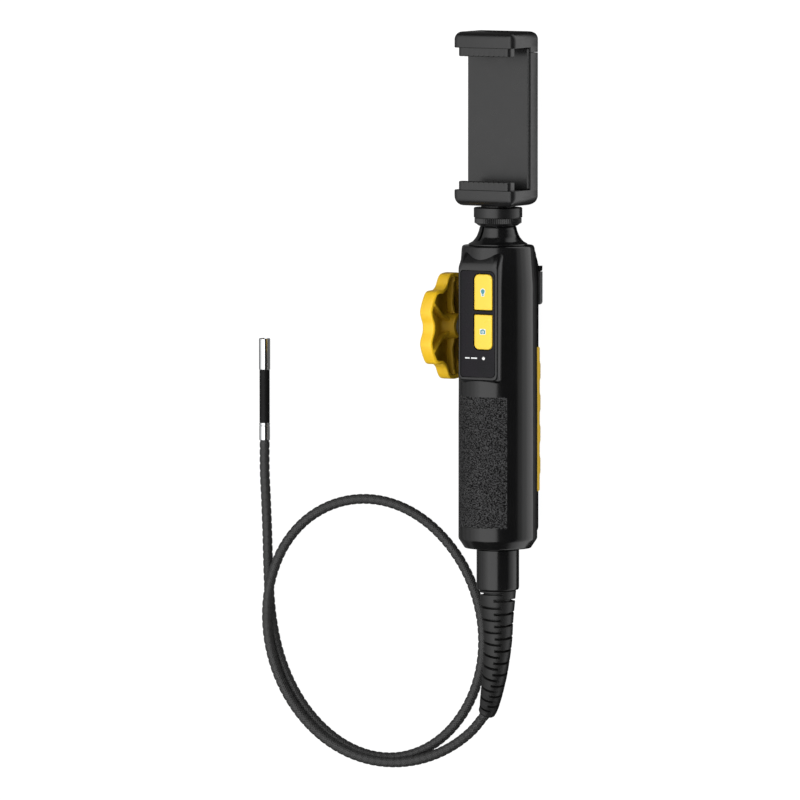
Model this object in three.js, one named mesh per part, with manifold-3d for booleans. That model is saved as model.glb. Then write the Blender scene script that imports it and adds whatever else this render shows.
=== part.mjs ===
// Articulating inspection camera (borescope) with a spring phone clamp.
// Units are millimetres, +Z up. The tool lies on its back on a table: the
// handle runs along +Y, the button panel faces +Z, the steering knob is on the
// -X side, and the insertion tube lies on the table in one loose loop.
// The origin is the centre of the bottom of the box round the tool without its tube.
import * as THREE from 'three';
import { mergeVertices } from 'three/addons/utils/BufferGeometryUtils.js';
import Module from 'manifold-3d';

const wasm = await Module();
wasm.setup();

// ---------------------------------------------------------------- dimensions
const AXIS_Z = 27.0;            // handle axis above the table
const ORIGIN_X = 6.0;           // handle axis to box centre
const ORIGIN_H = 125.85;        // box centre above the foot of the body
const BODY_R = 20.9;            // body radius
const BODY_L = 160.6;           // body length
const WALL = 2.3;
const SEAM_Z = -1.0;            // plane that parts the two shells
const GAP = 0.3;                // clearance between fitted pieces
const SPINE_D = 23.7;           // rear spine face from the axis
const SPINE_HW = 12.0;
const KNOB_H = 117.0;           // knob axis above the foot of the body
const KNOB_R = 28.3;
const KNOB_VALLEY = 23.8;
const KNOB_IN = -25.7;
const KNOB_OUT = -32.9;
const RING_H = 171.0;           // lock ring foot
const CLAMP_H = 181.9;          // clamp foot
const CLAMP_L = 92.1;
const CLAMP_HW = 18.5;
const ARM_T = 8.5;
const PAD_T = 4.5;
const CORD_R = 2.7;
const TIP_X = -158.0;
const TIP_Z = -23.95;
const TIP_Y0 = 49.5;            // rear of the chrome ring at the tube's end
const BEND_Y0 = 58.9;           // bending section
const BEND_L = 28.4;
const LINKS = 6;                // hinges in the bending section
const HEAD_END = 104.25;

// ------------------------------------------------------------------- helpers
function closed(geometry) {
  let g = geometry.clone();
  g.deleteAttribute('normal');
  g.deleteAttribute('uv');
  g = mergeVertices(g, 1e-4);
  const p = g.attributes.position, src = g.index.array, out = [];
  let volume = 0;
  const a = new THREE.Vector3(), b = new THREE.Vector3(), c = new THREE.Vector3();
  for (let i = 0; i < src.length; i += 3) {
    const [u, v, w] = [src[i], src[i + 1], src[i + 2]];
    if (u === v || v === w || u === w) continue;
    a.fromBufferAttribute(p, u); b.fromBufferAttribute(p, v); c.fromBufferAttribute(p, w);
    volume += a.dot(b.cross(c)) / 6;
    out.push(u, v, w);
  }
  if (volume < 0) for (let i = 0; i < out.length; i += 3) [out[i], out[i + 1]] = [out[i + 1], out[i]];
  g.setIndex(out);
  return g;
}
function solid(geometry) {
  const g = closed(geometry);
  return new wasm.Manifold(new wasm.Mesh({
    numProp: 3,
    vertProperties: new Float32Array(g.attributes.position.array),
    triVerts: new Uint32Array(g.index.array),
  }));
}
function geometry(manifold) {
  const m = manifold.getMesh();
  const g = new THREE.BufferGeometry();
  const pos = new Float32Array(m.numVert * 3);
  for (let i = 0; i < m.numVert; i++) for (let k = 0; k < 3; k++) pos[i * 3 + k] = m.vertProperties[i * m.numProp + k];
  g.setAttribute('position', new THREE.BufferAttribute(pos, 3));
  g.setIndex(Array.from(m.triVerts));
  g.computeVertexNormals();
  return g;
}
const cut = (a, ...rest) => rest.reduce((m, r) => m.subtract(r), a);
const join = (a, ...rest) => rest.reduce((m, r) => m.add(r), a);

function boxGeo(x0, x1, y0, y1, z0, z1) {
  const g = new THREE.BoxGeometry(x1 - x0, y1 - y0, z1 - z0);
  g.translate((x0 + x1) / 2, (y0 + y1) / 2, (z0 + z1) / 2);
  return g;
}
const box = (...v) => solid(boxGeo(...v));
// solid of revolution about +Y; profile of [radius, height]
function revGeo(profile, seg = 32) {
  return new THREE.LatheGeometry(profile.map(([r, y]) => new THREE.Vector2(r, y)), seg);
}
const rev = (profile, seg) => solid(revGeo(profile, seg));
const AX = {
  // extrusion along X of a [y, z] outline, along Y of a [z, x] outline, along Z of an [x, y] outline
  x: new THREE.Matrix4().makeBasis(new THREE.Vector3(0, 1, 0), new THREE.Vector3(0, 0, 1), new THREE.Vector3(1, 0, 0)),
  y: new THREE.Matrix4().makeBasis(new THREE.Vector3(0, 0, 1), new THREE.Vector3(1, 0, 0), new THREE.Vector3(0, 1, 0)),
  z: new THREE.Matrix4(),
};
function prismGeo(axis, outline, from, to, holes = []) {
  const s = new THREE.Shape(outline.map(([a, b]) => new THREE.Vector2(a, b)));
  for (const h of holes) s.holes.push(new THREE.Path(h.map(([a, b]) => new THREE.Vector2(a, b))));
  const g = new THREE.ExtrudeGeometry(s, { depth: to - from, bevelEnabled: false, steps: 1 });
  g.translate(0, 0, from);
  g.applyMatrix4(AX[axis]);
  return g;
}
const prism = (...v) => solid(prismGeo(...v));
function ringPoints(r, n, cx = 0, cy = 0, phase = 0) {
  return Array.from({ length: n }, (_, i) => {
    const t = phase + (i / n) * Math.PI * 2;
    return [cx + r * Math.cos(t), cy + r * Math.sin(t)];
  });
}
// cylinder along an axis; the centre is given in that axis's outline order
const rodGeo = (axis, r, from, to, c = [0, 0], n = 24, bore = 0) =>
  prismGeo(axis, ringPoints(r, n, c[0], c[1]), from, to, bore ? [ringPoints(bore, n, c[0], c[1]).reverse()] : []);
const rod = (...v) => solid(rodGeo(...v));
// rounded rectangle outline
function roundRect(a0, a1, b0, b1, radii, n = 4) {
  const [r0, r1, r2, r3] = Array.isArray(radii) ? radii : [radii, radii, radii, radii];
  const out = [];
  const arc = (ca, cb, r, t0) => {
    if (r <= 0) { out.push([ca, cb]); return; }
    for (let i = 0; i <= n; i++) {
      const t = t0 + (i / n) * Math.PI / 2;
      out.push([ca + r * Math.cos(t), cb + r * Math.sin(t)]);
    }
  };
  arc(a0 + r0, b0 + r0, r0, Math.PI);
  arc(a1 - r1, b0 + r1, r1, 1.5 * Math.PI);
  arc(a1 - r2, b1 - r2, r2, 0);
  arc(a0 + r3, b1 - r3, r3, 0.5 * Math.PI);
  return out;
}
function tubeGeo(points, r, steps, sides = 8) {
  const path = new THREE.CatmullRomCurve3(points.map((p) => new THREE.Vector3(...p)), false, 'centripetal');
  const s = new THREE.Shape(ringPoints(r, sides).map(([a, b]) => new THREE.Vector2(a, b)));
  return new THREE.ExtrudeGeometry(s, { extrudePath: path, steps, bevelEnabled: false });
}

// ----------------------------------------------------------------- materials
const mat = (color, roughness, metalness = 0) => new THREE.MeshStandardMaterial({ color, roughness, metalness });
const M = {
  shell: mat(0x151515, 0.42),
  grip: mat(0xf2bd12, 0.5),
  gloss: mat(0x0b0b0d, 0.12),
  button: mat(0xf6cf3c, 0.4),
  rubber: mat(0x191919, 0.8),
  chrome: mat(0xd8dadc, 0.12, 1),
  steel: mat(0xa8abae, 0.3, 1),
  brass: mat(0xc59a4a, 0.3, 1),
  board: mat(0x1d5b33, 0.5),
  part: mat(0x2a2a2c, 0.5),
  cell: mat(0x2b5fa8, 0.45),
  glass: mat(0xbfd4e6, 0.05),
  braid: mat(0x1b1b1b, 0.55),
  clamp: mat(0x1d1d1e, 0.55),
  light: mat(0xf4f4ea, 0.3),
};
const handle = new THREE.Group();
handle.position.set(ORIGIN_X, -ORIGIN_H, AXIS_Z);
function put(parent, name, shape, material) {
  const g = shape.isBufferGeometry ? closed(shape) : geometry(shape);
  if (!g.attributes.normal) g.computeVertexNormals();
  const mesh = new THREE.Mesh(g, material);
  mesh.name = name;
  parent.add(mesh);
  return mesh;
}
function group(parent, x, y, z) {
  const g = new THREE.Group();
  g.position.set(x, y, z);
  parent.add(g);
  return g;
}

// -------------------------------------------------------------------- shells
const outer = rev([[0, 0], [17.5, 0], [BODY_R, 5], [BODY_R, 70], [20.6, 140], [19.3, 158.8], [18.5, BODY_L], [0, BODY_L]], 40);
const RI = BODY_R - WALL;
const inner = rev([[0, 2.4], [15.6, 2.4], [RI, 6.5], [RI, 70], [18.3, 138], [17.1, 156.2], [16.6, 158.2], [0, 158.2]], 40);
const limit = rev([[0, 1], [16.6, 1], [19.9, 6], [19.9, 70], [19.6, 138], [0, 150]], 40);
const doorways = [rod('y', 8.5, -1, 3.5, [0, 0], 24), rod('y', 8.0, 157, 162, [0, 0], 24), rod('x', 5.3, -26, -12, [KNOB_H, 0], 20)];
const SCREWS = [[-8, 12], [8, 12], [-8, 138], [8, 138]];

let front = cut(outer, inner, ...doorways, box(-40, 40, -5, 170, -40, SEAM_Z + GAP / 2));
for (const [x, h] of SCREWS) {
  const boss = rod('z', 3, SEAM_Z + GAP / 2, 11.9, [x, h], 12);
  const rib = x < 0 ? box(-19.9, x, h - 0.8, h + 0.8, SEAM_Z + GAP / 2, 11.9) : box(x, 19.9, h - 0.8, h + 0.8, SEAM_Z + GAP / 2, 11.9);
  front = join(front, join(boss, rib).intersect(limit));
}
for (const [x, h] of SCREWS) front = cut(front, rod('z', 1.5, -3, 9.6, [x, h], 10));
// seat and opening for the button panel
front = cut(front, box(-10.5, 10.5, 91.7, 148.3, 19.9, 30), box(-9.7, 9.7, 94, 147.0, 8, 30));
put(handle, 'front_shell', front, M.shell);

const spineSide = prism('x', [[6, -14], [6, -20.6], [9.5, -SPINE_D], [149, -SPINE_D], [159, -19.6], [159, -14]], -SPINE_HW, SPINE_HW);
const spineSection = prism('y', [[-10, -SPINE_HW], [-10, SPINE_HW], [-22.5, SPINE_HW], [-SPINE_D, SPINE_HW - 1.2], [-SPINE_D, -SPINE_HW + 1.2], [-22.5, -SPINE_HW]].reverse(), 0, 165);
let rear = cut(join(outer, spineSide.intersect(spineSection)), inner, ...doorways, box(-40, 40, -5, 170, SEAM_Z - GAP / 2, 40));
for (const [x, h] of SCREWS) rear = join(rear, rod('z', 3, -20, SEAM_Z - GAP / 2, [x, h], 12));
for (const [x, h] of SCREWS) rear = cut(rear, rod('z', 1.55, -30, 1, [x, h], 10), rod('z', 2.65, -30, -20, [x, h], 12));
// pocket for the finger grip, mouth for the charging port, lugs for the cover's pin
rear = cut(rear, box(-10.6, 10.6, 28.6, 105.9, -40, -22.3), box(-4.9, 4.9, 136.3, 140.3, -30, -14));
for (const s of [-1, 1]) {
  const [x0, x1] = s < 0 ? [-12, -10.95] : [10.95, 12];
  rear = join(rear, prism('x', roundRect(145.9, 148.7, -26.8, -23.4, [0.8, 0, 0, 0.8], 2), x0, x1));
}
rear = cut(rear, rod('x', 1.0, -15, 15, [147.3, -25.4], 12));
put(handle, 'rear_shell', rear, M.shell);

// rubber finger grip: four flat-topped pads on a low base
const GRIP = [28.9, 105.6];
const PADS = [42.5, 59.25, 75.9, 92.65];
const wave = [[GRIP[0], -24.4], [GRIP[0] + 1.6, -26.1]];
for (const c of PADS) wave.push([c - 4.7, -26.2], [c - 3.5, -AXIS_Z], [c + 3.5, -AXIS_Z], [c + 4.7, -26.2]);
wave.push([GRIP[1] - 1.6, -26.1], [GRIP[1], -24.4]);
put(handle, 'finger_grip', prismGeo('x', [[GRIP[1], -22.6], [GRIP[0], -22.6], ...wave], -10.3, 10.3), M.grip);

for (const [i, [x, h]] of SCREWS.entries()) {
  let s = join(rod('z', 2.3, -22.2, -20.3, [0, 0], 12), rod('z', 1.1, -20.4, 8, [0, 0], 8));
  s = cut(s, box(-1.6, 1.6, -0.35, 0.35, -23, -21.2), box(-0.35, 0.35, -1.6, 1.6, -23, -21.2));
  put(group(handle, x, h, 0), 'shell_screw_' + (i + 1), s, M.steel);
}

// -------------------------------------------------------------- button panel
const panelRing = prism('z', [[-9.5, 90], [9, 90], [12, 93], [12, 148.5], [9, 151.5], [-9.5, 151.5], [-12, 149], [-12, 92.5]], 14, 21.9);
const overShell = rev([[0, 80], [BODY_R + GAP, 80], [BODY_R + GAP - 0.1, 100], [20.6 + GAP, 140], [19.95 + GAP, 152], [19, 160], [0, 160]], 40);
let bezel = cut(panelRing, box(-10.5, 10.5, 91.7, 148.3, 19.9, 30), box(-9.7, 9.7, 94, 147.0, 8, 30), overShell);
put(handle, 'panel_bezel', bezel, M.shell);
const BTN_X = [-2.05, 9.05];
const BTN = { light_button: [127.5, 146.4], photo_button: [106.6, 125.0] };
let cover = prism('z', roundRect(-10.2, 10.2, 92, 148, [1.2, 2.4, 3.2, 1.2], 4), 20.2, 21.7);
for (const [a, b] of Object.values(BTN)) cover = cut(cover, prism('z', roundRect(BTN_X[0] - GAP, BTN_X[1] + GAP, a - GAP, b + GAP, a > 120 ? [0.8, 0.8, 2.3, 2.3] : [2.3, 2.3, 0.8, 0.8], 3), 19, 23));
cover = cut(cover, rod('z', 1.2, 19, 23, [3.5, 101.9], 12));
put(handle, 'panel_cover', cover, M.gloss);
for (const [name, [a, b]] of Object.entries(BTN)) {
  const g = group(handle, 3.5, (a + b) / 2, 0);
  const hl = (b - a) / 2, hw = (BTN_X[1] - BTN_X[0]) / 2;
  const cap = prism('z', roundRect(-hw, hw, -hl, hl, name === 'light_button' ? [0.6, 0.6, 2, 2] : [2, 2, 0.6, 0.6], 3), 19.2, 22.0);
  const flange = box(-hw - 0.5, hw + 0.2, -hl - 0.3, hl + 0.3, 18.4, 19.3);
  const stem = rod('z', 1.8, 18.0, 19.3, [0, 0], 12);
  put(g, name, join(cap, flange, stem), M.button);
}
put(handle, 'status_light_pipe', rodGeo('z', 0.9, 14.2, 21.8, [3.5, 101.9], 12), M.light);

// --------------------------------------------------------------- electronics
put(handle, 'main_board', prism('z', roundRect(-10.6, 10.6, 86, 147.5, 1, 2), 12.2, 13.8), M.board);
for (const [name, host] of [['light_switch', 'light_button'], ['photo_switch', 'photo_button']]) {
  const g = group(handle, 3.5, (BTN[host][0] + BTN[host][1]) / 2, 0);
  put(g, name, join(box(-3, 3, -3, 3, 14.1, 16.2), rod('z', 1.7, 16.0, 17.0, [0, 0], 12)), M.part);
}
put(group(handle, 5, 0, 0), 'battery', rev([[0, 28], [8.6, 28], [9.2, 28.6], [9.2, 92.4], [8.6, 93], [3, 93], [3, 94], [0, 94]], 28), M.cell);
put(handle, 'signal_cable', tubeGeo([[1.5, -12, 0], [1.5, 0, 0], [1.2, 10, 0.6], [-2, 19, 7], [-6, 26, 12], [-7, 36, 13.2], [-7, 60, 13.2], [-7, 85.4, 13.0]], 0.9, 18, 6), M.rubber);
let port = box(-4.5, 4.5, 136.7, 139.9, -23.3, -15.7);
port = cut(port, box(-4.15, 4.15, 137.05, 139.55, -24, -16.6));
port = join(port, box(-3.2, 3.2, 138.0, 138.6, -22.4, -16.4));
put(handle, 'charge_port', port, M.steel);
put(handle, 'charge_board', boxGeo(-4.6, 4.6, 130, 144.5, -15.4, -14), M.board);

// ------------------------------------------------------- charging port cover
const hingePort = group(handle, 0, 147.3, -25.4);
const flap = prism('x', [
  [-19.3, 1.4], [-19.3, -1.4 + 0.5], [-18.8, -1.4], ...ringPoints(1.4, 16).filter(([a]) => a >= -0.001).sort((p, q) => p[1] - q[1]),
].reverse(), -12.4, 12.4);
let portCover = flap.intersect(prism('z', roundRect(-12.4, 12.4, -19.3, 1.4, 1.6, 3), -2, 2));
portCover = cut(portCover, box(-13, -10.65, -1.7, 2, -2, 2), box(10.65, 13, -1.7, 2, -2, 2), rod('x', 1.0, -13, 13, [0, 0], 12));
put(hingePort, 'port_cover', portCover, M.rubber);
put(hingePort, 'cover_hinge_pin', rodGeo('x', 0.7, -11.9, 11.9, [0, 0], 12), M.steel);

// ------------------------------------------------------------- steering knob
const knob = group(handle, 0, KNOB_H, 0);
function lobes(rOut, rValley, shrink = 0) {
  // six lobes with flat tops centred 30 degrees either side of +Y and -Y and on the Y axis rows
  const pts = [];
  for (let i = 0; i < 72; i++) {
    const t = (i / 72) * Math.PI * 2;
    const u = Math.abs((((t * 180) / Math.PI) % 60) - 30); // 0 at a lobe centre, 30 at a valley
    const k = u < 11 ? 0 : u > 27 ? 1 : 0.5 - 0.5 * Math.cos(((u - 11) / 16) * Math.PI);
    const r = rOut + (rValley - rOut) * k - shrink;
    pts.push([r * Math.cos(t), r * Math.sin(t)]);
  }
  return pts;
}
// the outline is in [y, z]; lobe centres sit 30, 90, 150 ... degrees from +Y, so the valleys face +Y and the rest follow
const LOBE_PHASE = Math.PI / 6;
const turn = (pts, a) => pts.map(([u, v]) => [u * Math.cos(a) - v * Math.sin(a), u * Math.sin(a) + v * Math.cos(a)]);
const knobOutline = turn(lobes(KNOB_R, KNOB_VALLEY), LOBE_PHASE);
let knobBody = prism('x', knobOutline, KNOB_OUT, KNOB_IN);
const dish = prism('x', turn(lobes(KNOB_R, KNOB_VALLEY, 2.4), LOBE_PHASE), KNOB_OUT + 2.2, KNOB_IN + 2);
let hollow = cut(dish, rod('x', 7.0, KNOB_OUT, KNOB_IN + 3, [0, 0], 24));
for (let i = 0; i < 6; i++) {
  const a = (i * Math.PI) / 3;
  const w = 0.8;
  const c = [Math.cos(a), Math.sin(a)], n = [-c[1], c[0]];
  const rib = [[6, -w], [30, -w], [30, w], [6, w]].map(([u, v]) => [u * c[0] + v * n[0], u * c[1] + v * n[1]]);
  hollow = cut(hollow, prism('x', rib, KNOB_OUT, KNOB_IN + 3));
}
knobBody = cut(knobBody, hollow);
knobBody = join(knobBody, rod('x', 6.2, KNOB_IN - 0.5, -23.3, [0, 0], 24));
knobBody = cut(knobBody, rod('x', 3.3, -29.8, -20, [0, 0], 20), rod('x', 1.4, -31, -28, [0, 0], 12), rod('x', 4.7, -35, -30.6, [0, 0], 24));
put(knob, 'knob', knobBody, M.grip);
put(knob, 'knob_cap', rodGeo('x', 4.4, -32.7, -31.9, [0, 0], 24), M.grip);
put(knob, 'knob_screw', join(rod('x', 2.6, -31.6, -30.9, [0, 0], 16), rod('x', 1.1, -31.0, -23, [0, 0], 12)), M.steel);
put(knob, 'knob_shaft', cut(rod('x', 3.0, -29.5, -4.4, [0, 0], 20), rod('x', 1.4, -31, -22, [0, 0], 12)), M.steel);
const drum = cut(join(rod('x', 8.2, -15.4, -9, [0, 0], 24), rod('x', 8.9, -10.2, -9, [0, 0], 24)), rod('x', 3.3, -17, -7, [0, 0], 16));
put(knob, 'steering_drum', drum, M.part);
put(knob, 'shaft_bush', rodGeo('x', 5.0, -22.6, -17.6, [0, 0], 24, 3.3), M.brass);
put(handle, 'drum_bracket', cut(prism('x', [[108.5, -16], [121.1, -16], [121.1, 5], [119, 8], [111, 8], [108.5, 5]], -7.6, -5.9), rod('x', 3.3, -9, -4, [KNOB_H, 0], 20)), M.steel);
for (const [name, s] of [['pull_wire_a', 1], ['pull_wire_b', -1]]) {
  put(handle, name, tubeGeo([[-12.4, 119, s * 8.7], [-12.4, 108, s * 8.8], [-12.4, 60, s * 8.6], [-12.2, 36, s * 8.0], [-10, 26, s * 6], [-4.4, 19.5, s * 4], [-1.6, 11, s * 2.6], [-1.2, 2, s * 2.0], [-1.2, -14, s * 1.7]], 0.4, 16, 5), M.steel);
}

// ------------------------------------------------- neck, stud and lock ring
let neck = rev([[3.5, 155.6], [11, 155.6], [11, 157.9], [7.6, 157.9], [7.6, 160.9], [15.3, 160.9], [15.3, 161.6], [13.0, 163.2], [11.3, 165.4], [10.2, 168], [9.5, 170.7], [3.5, 170.7], [3.5, 155.6]], 28);
for (let i = 0; i < 3; i++) {
  const a = THREE.MathUtils.degToRad(-24 + 120 * i);
  // slot in the flare, open to the outside
  const c = [Math.cos(a), Math.sin(a)], n = [-c[1], c[0]];
  const slot = [[7.9, -0.9], [17, -0.9], [17, 0.9], [7.9, 0.9]].map(([u, v]) => [u * c[0] + v * n[0], u * c[1] + v * n[1]]);
  neck = cut(neck, prism('y', slot, 163.2, 171));
}
put(handle, 'neck_mount', neck, M.shell);
put(handle, 'phone_stud', join(rod('y', 5.0, 153.2, 155.3, [0, 0], 24), rod('y', 3.175, 155.2, 189.0, [0, 0], 24)), M.steel);
put(group(handle, 0, RING_H, 0), 'lock_ring', revGeo([[3.5, 0], [10.6, 0], [12.0, 1.2], [12.3, 1.5], [12.3, 4.2], [12.6, 4.2], [12.6, 9.2], [12.1, 9.7], [3.5, 9.7], [3.5, 0]], 28), M.clamp);

// --------------------------------------------------------------- phone clamp
const clamp = group(handle, 0, CLAMP_H, 0);
put(clamp, 'clamp_washer', revGeo([[3.5, -0.9], [9, -0.9], [9, -0.3], [3.5, -0.3], [3.5, -0.9]], 24), M.rubber);
const SPLIT = 80.95;
const plan = (y0, y1) => prism('y', roundRect(-11, 16.6, -CLAMP_HW, CLAMP_HW, [2, 4, 4, 2], 4), y0, y1);
const cLow = prism('x', [
  [ARM_T, -2], [ARM_T, 16.6], [3.6, 16.6], [1.4, 15.7], [0.3, 14.2], [0, 12.4], [0, -7.4], [0.8, -9.6], [2, -10.6], [3.6, -11], [SPLIT - 0.15, -11], [SPLIT - 0.15, -2],
], -20, 20);
let frame = cLow.intersect(plan(-1, 100));
frame = cut(frame, box(-4.2, 4.2, 14, 90, -9.6, 0), rod('y', 5.7, -1, 7.8, [0, 0], 24), rod('y', 1.8, 12, 90, [-6.5, -11], 16), rod('y', 1.8, 12, 90, [-6.5, 11], 16));
put(clamp, 'clamp_frame', frame, M.clamp);
put(clamp, 'clamp_insert', prismGeo('y', ringPoints(5.4, 6), 0.3, 7.5, [ringPoints(3.5, 20).reverse()]), M.brass);
put(clamp, 'clamp_back_plate', prism('y', roundRect(-1.7, 0, -17.6, 17.6, [0, 0.7, 0.7, 0], 2), ARM_T + 0.3, CLAMP_L - ARM_T - 0.3), M.clamp);
const padOutline = (y0, y1, teeth) => {
  const pts = [];
  // outline in [x, y]; the gripping face carries shallow teeth
  const n = 12, x0 = -15.9, x1 = 15.9, p = (x1 - x0) / n;
  pts.push([x0, y0], [x1, y0]);
  for (let i = n; i > 0; i--) {
    const x = x0 + i * p;
    pts.push([x, y1 - teeth], [x - 0.25 * p, y1], [x - 0.75 * p, y1]);
  }
  pts.push([x0, y1 - teeth]);
  return y1 > y0 ? pts : pts.reverse();
};
put(clamp, 'clamp_lower_pad', prism('z', padOutline(ARM_T + 0.3, ARM_T + PAD_T, 0.5), 10.2, 15.9), M.rubber);
const jaw = group(clamp, 0, 0, 0);
const cTop = prism('x', [
  [CLAMP_L - ARM_T, 16.6], [CLAMP_L - ARM_T, -2], [SPLIT + 0.15, -2], [SPLIT + 0.15, -11], [CLAMP_L - 3.6, -11], [CLAMP_L - 2, -10.6], [CLAMP_L - 0.8, -9.6], [CLAMP_L, -7.4], [CLAMP_L, 12.4], [CLAMP_L - 0.3, 14.2], [CLAMP_L - 1.4, 15.7], [CLAMP_L - 3.6, 16.6],
], -20, 20);
let upper = cTop.intersect(plan(0, 110));
upper = join(upper, box(-3.6, 3.6, 50, 83, -8.8, -3.0));
upper = cut(upper, rod('y', 1.8, 70, 86.5, [-6.5, -11], 16), rod('y', 1.8, 70, 86.5, [-6.5, 11], 16));
put(jaw, 'clamp_upper_jaw', upper, M.clamp);
put(jaw, 'clamp_upper_pad', prism('z', padOutline(CLAMP_L - ARM_T - 0.3, CLAMP_L - ARM_T - PAD_T, -0.5), 10.2, 15.9), M.rubber);
put(jaw, 'guide_rod_left', rodGeo('y', 1.5, 24, 86.2, [-6.5, -11], 16), M.steel);
put(jaw, 'guide_rod_right', rodGeo('y', 1.5, 24, 86.2, [-6.5, 11], 16), M.steel);
const coil = [];
for (let i = 0; i <= 11 * 8; i++) {
  const t = (i / 8) * Math.PI * 2;
  coil.push([2.5 * Math.cos(t), 15 + (34 * i) / (11 * 8), -5.9 + 2.5 * Math.sin(t)]);
}
put(clamp, 'jaw_spring', tubeGeo(coil, 0.4, 11 * 7, 4), M.steel);

// ------------------------------------------------------- foot of the handle
put(handle, 'bottom_collar', revGeo([[5.2, -22.3], [10.9, -22.3], [11.3, -21.9], [11.3, -1.4], [10.9, -1.0], [8.2, -1.0], [8.2, 2.7], [10.2, 2.7], [10.2, 4.6], [5.2, 4.6], [5.2, -22.3]], 28), M.shell);
put(handle, 'collar_seal', revGeo([[8.8, -0.75], [10.9, -0.75], [10.9, -0.3], [8.8, -0.3], [8.8, -0.75]], 20), M.rubber);
put(handle, 'tube_anchor', revGeo([[3.2, -21.5], [4.9, -21.5], [4.9, -3], [4.2, -3], [4.2, -1], [3.2, -1], [3.2, -21.5]], 14), M.steel);

// ------------------------------------- strain relief, swept and tapering
const RELIEF = [[0, -22.9, 0], [0, -30, 0], [-0.5, -40, -1.0], [-0.9, -47.5, -2.0], [-1.9, -54.5, -3.1], [-3.4, -61.5, -4.5], [-5.0, -67.5, -6.0], [-7.7, -75.2, -8.3], [-10.3, -81.8, -10.6], [-12.6, -87.2, -12.4], [-14.45, -90.45, -13.05]];
const RELIEF_R = [9.4, 8.7, 7.5, 7.0, 6.7, 6.4, 6.0, 5.7, 5.2, 4.7, 4.3];
function taper(points, radii, steps, sides, bore) {
  const path = new THREE.CatmullRomCurve3(points.map((p) => new THREE.Vector3(...p)), false, 'centripetal');
  const frames = path.computeFrenetFrames(steps, false);
  const pos = [], idx = [];
  for (let i = 0; i <= steps; i++) {
    const u = i / steps, c = path.getPointAt(u), k = u * (radii.length - 1);
    const k0 = Math.min(radii.length - 2, Math.floor(k));
    const r = radii[k0] + (radii[k0 + 1] - radii[k0]) * (k - k0);
    for (const [q, rr] of [[0, r], [1, bore]]) for (let j = 0; j < sides; j++) {
      const t = (j / sides) * Math.PI * 2;
      const p = c.clone().addScaledVector(frames.normals[i], rr * Math.cos(t)).addScaledVector(frames.binormals[i], rr * Math.sin(t));
      pos.push(p.x, p.y, p.z);
    }
  }
  const at = (i, q, j) => i * sides * 2 + q * sides + (j % sides);
  const quad = (a, b, c, d) => idx.push(a, b, c, a, c, d);
  for (let i = 0; i < steps; i++) for (let j = 0; j < sides; j++) {
    quad(at(i, 0, j), at(i, 0, j + 1), at(i + 1, 0, j + 1), at(i + 1, 0, j));
    quad(at(i, 1, j), at(i + 1, 1, j), at(i + 1, 1, j + 1), at(i, 1, j + 1));
  }
  for (let j = 0; j < sides; j++) {
    quad(at(0, 0, j), at(0, 1, j), at(0, 1, j + 1), at(0, 0, j + 1));
    quad(at(steps, 0, j), at(steps, 0, j + 1), at(steps, 1, j + 1), at(steps, 1, j));
  }
  const g = new THREE.BufferGeometry();
  g.setAttribute('position', new THREE.Float32BufferAttribute(pos, 3));
  g.setIndex(idx);
  return g;
}
put(handle, 'strain_relief', taper(RELIEF, RELIEF_R, 14, 14, 3.0), M.rubber);

// -------------------------------------------- insertion tube on the table
const ROUTE = [[-14.60,-90.60,-13.10],[-26.31,-101.60,-16.57],[-39.98,-110.63,-18.09],[-55.14,-116.99,-18.61],[-71.27,-120.21,-18.69],[-87.71,-119.98,-18.65],[-103.71,-116.18,-18.64],[-118.47,-108.93,-18.66],[-131.26,-98.59,-18.65],[-141.47,-85.70,-18.54],[-148.65,-70.91,-18.36],[-152.58,-54.94,-18.26],[-153.23,-38.51,-18.58],[-150.61,-22.32,-19.76],[-144.44,-7.22,-21.76],[-134.10,5.39,-23.50],[-120.30,14.27,-24.18],[-104.61,19.12,-24.25],[-88.19,19.85,-24.19],[-72.11,16.44,-24.11],[-57.34,9.24,-24.09],[-44.58,-1.13,-24.11],[-34.34,-14.00,-24.16],[-27.08,-28.76,-24.20],[-23.25,-44.75,-24.23],[-23.18,-61.18,-24.25],[-27.00,-77.17,-24.25],[-34.55,-91.77,-24.25],[-45.44,-104.08,-24.24],[-59.15,-113.12,-24.24],[-74.83,-117.98,-24.24],[-91.25,-118.07,-24.24],[-107.05,-113.57,-24.25],[-121.23,-105.26,-24.25],[-133.19,-93.97,-24.25],[-142.58,-80.46,-24.25],[-149.24,-65.42,-24.25],[-153.27,-49.46,-24.24],[-155.27,-33.11,-24.24],[-156.09,-16.66,-24.24],[-156.60,-0.19,-24.25],[-157.30,16.28,-24.23],[-158.09,32.73,-24.16],[-158.00,49.20,-23.95]];
put(handle, 'insertion_tube', tubeGeo(ROUTE, CORD_R, 68, 10), M.braid);

// -------------------------------------------------------------- camera tip
const tip = group(handle, TIP_X, 0, TIP_Z);
const pitch = BEND_L / LINKS;
const hinge = (i) => BEND_Y0 + (i - 0.5) * pitch;    // hinge i = 1..LINKS
const LINK_R = 2.55, LINK_BORE = 1.3, APEX = 0.15, TAN = Math.tan(THREE.MathUtils.degToRad(16.2));
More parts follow.
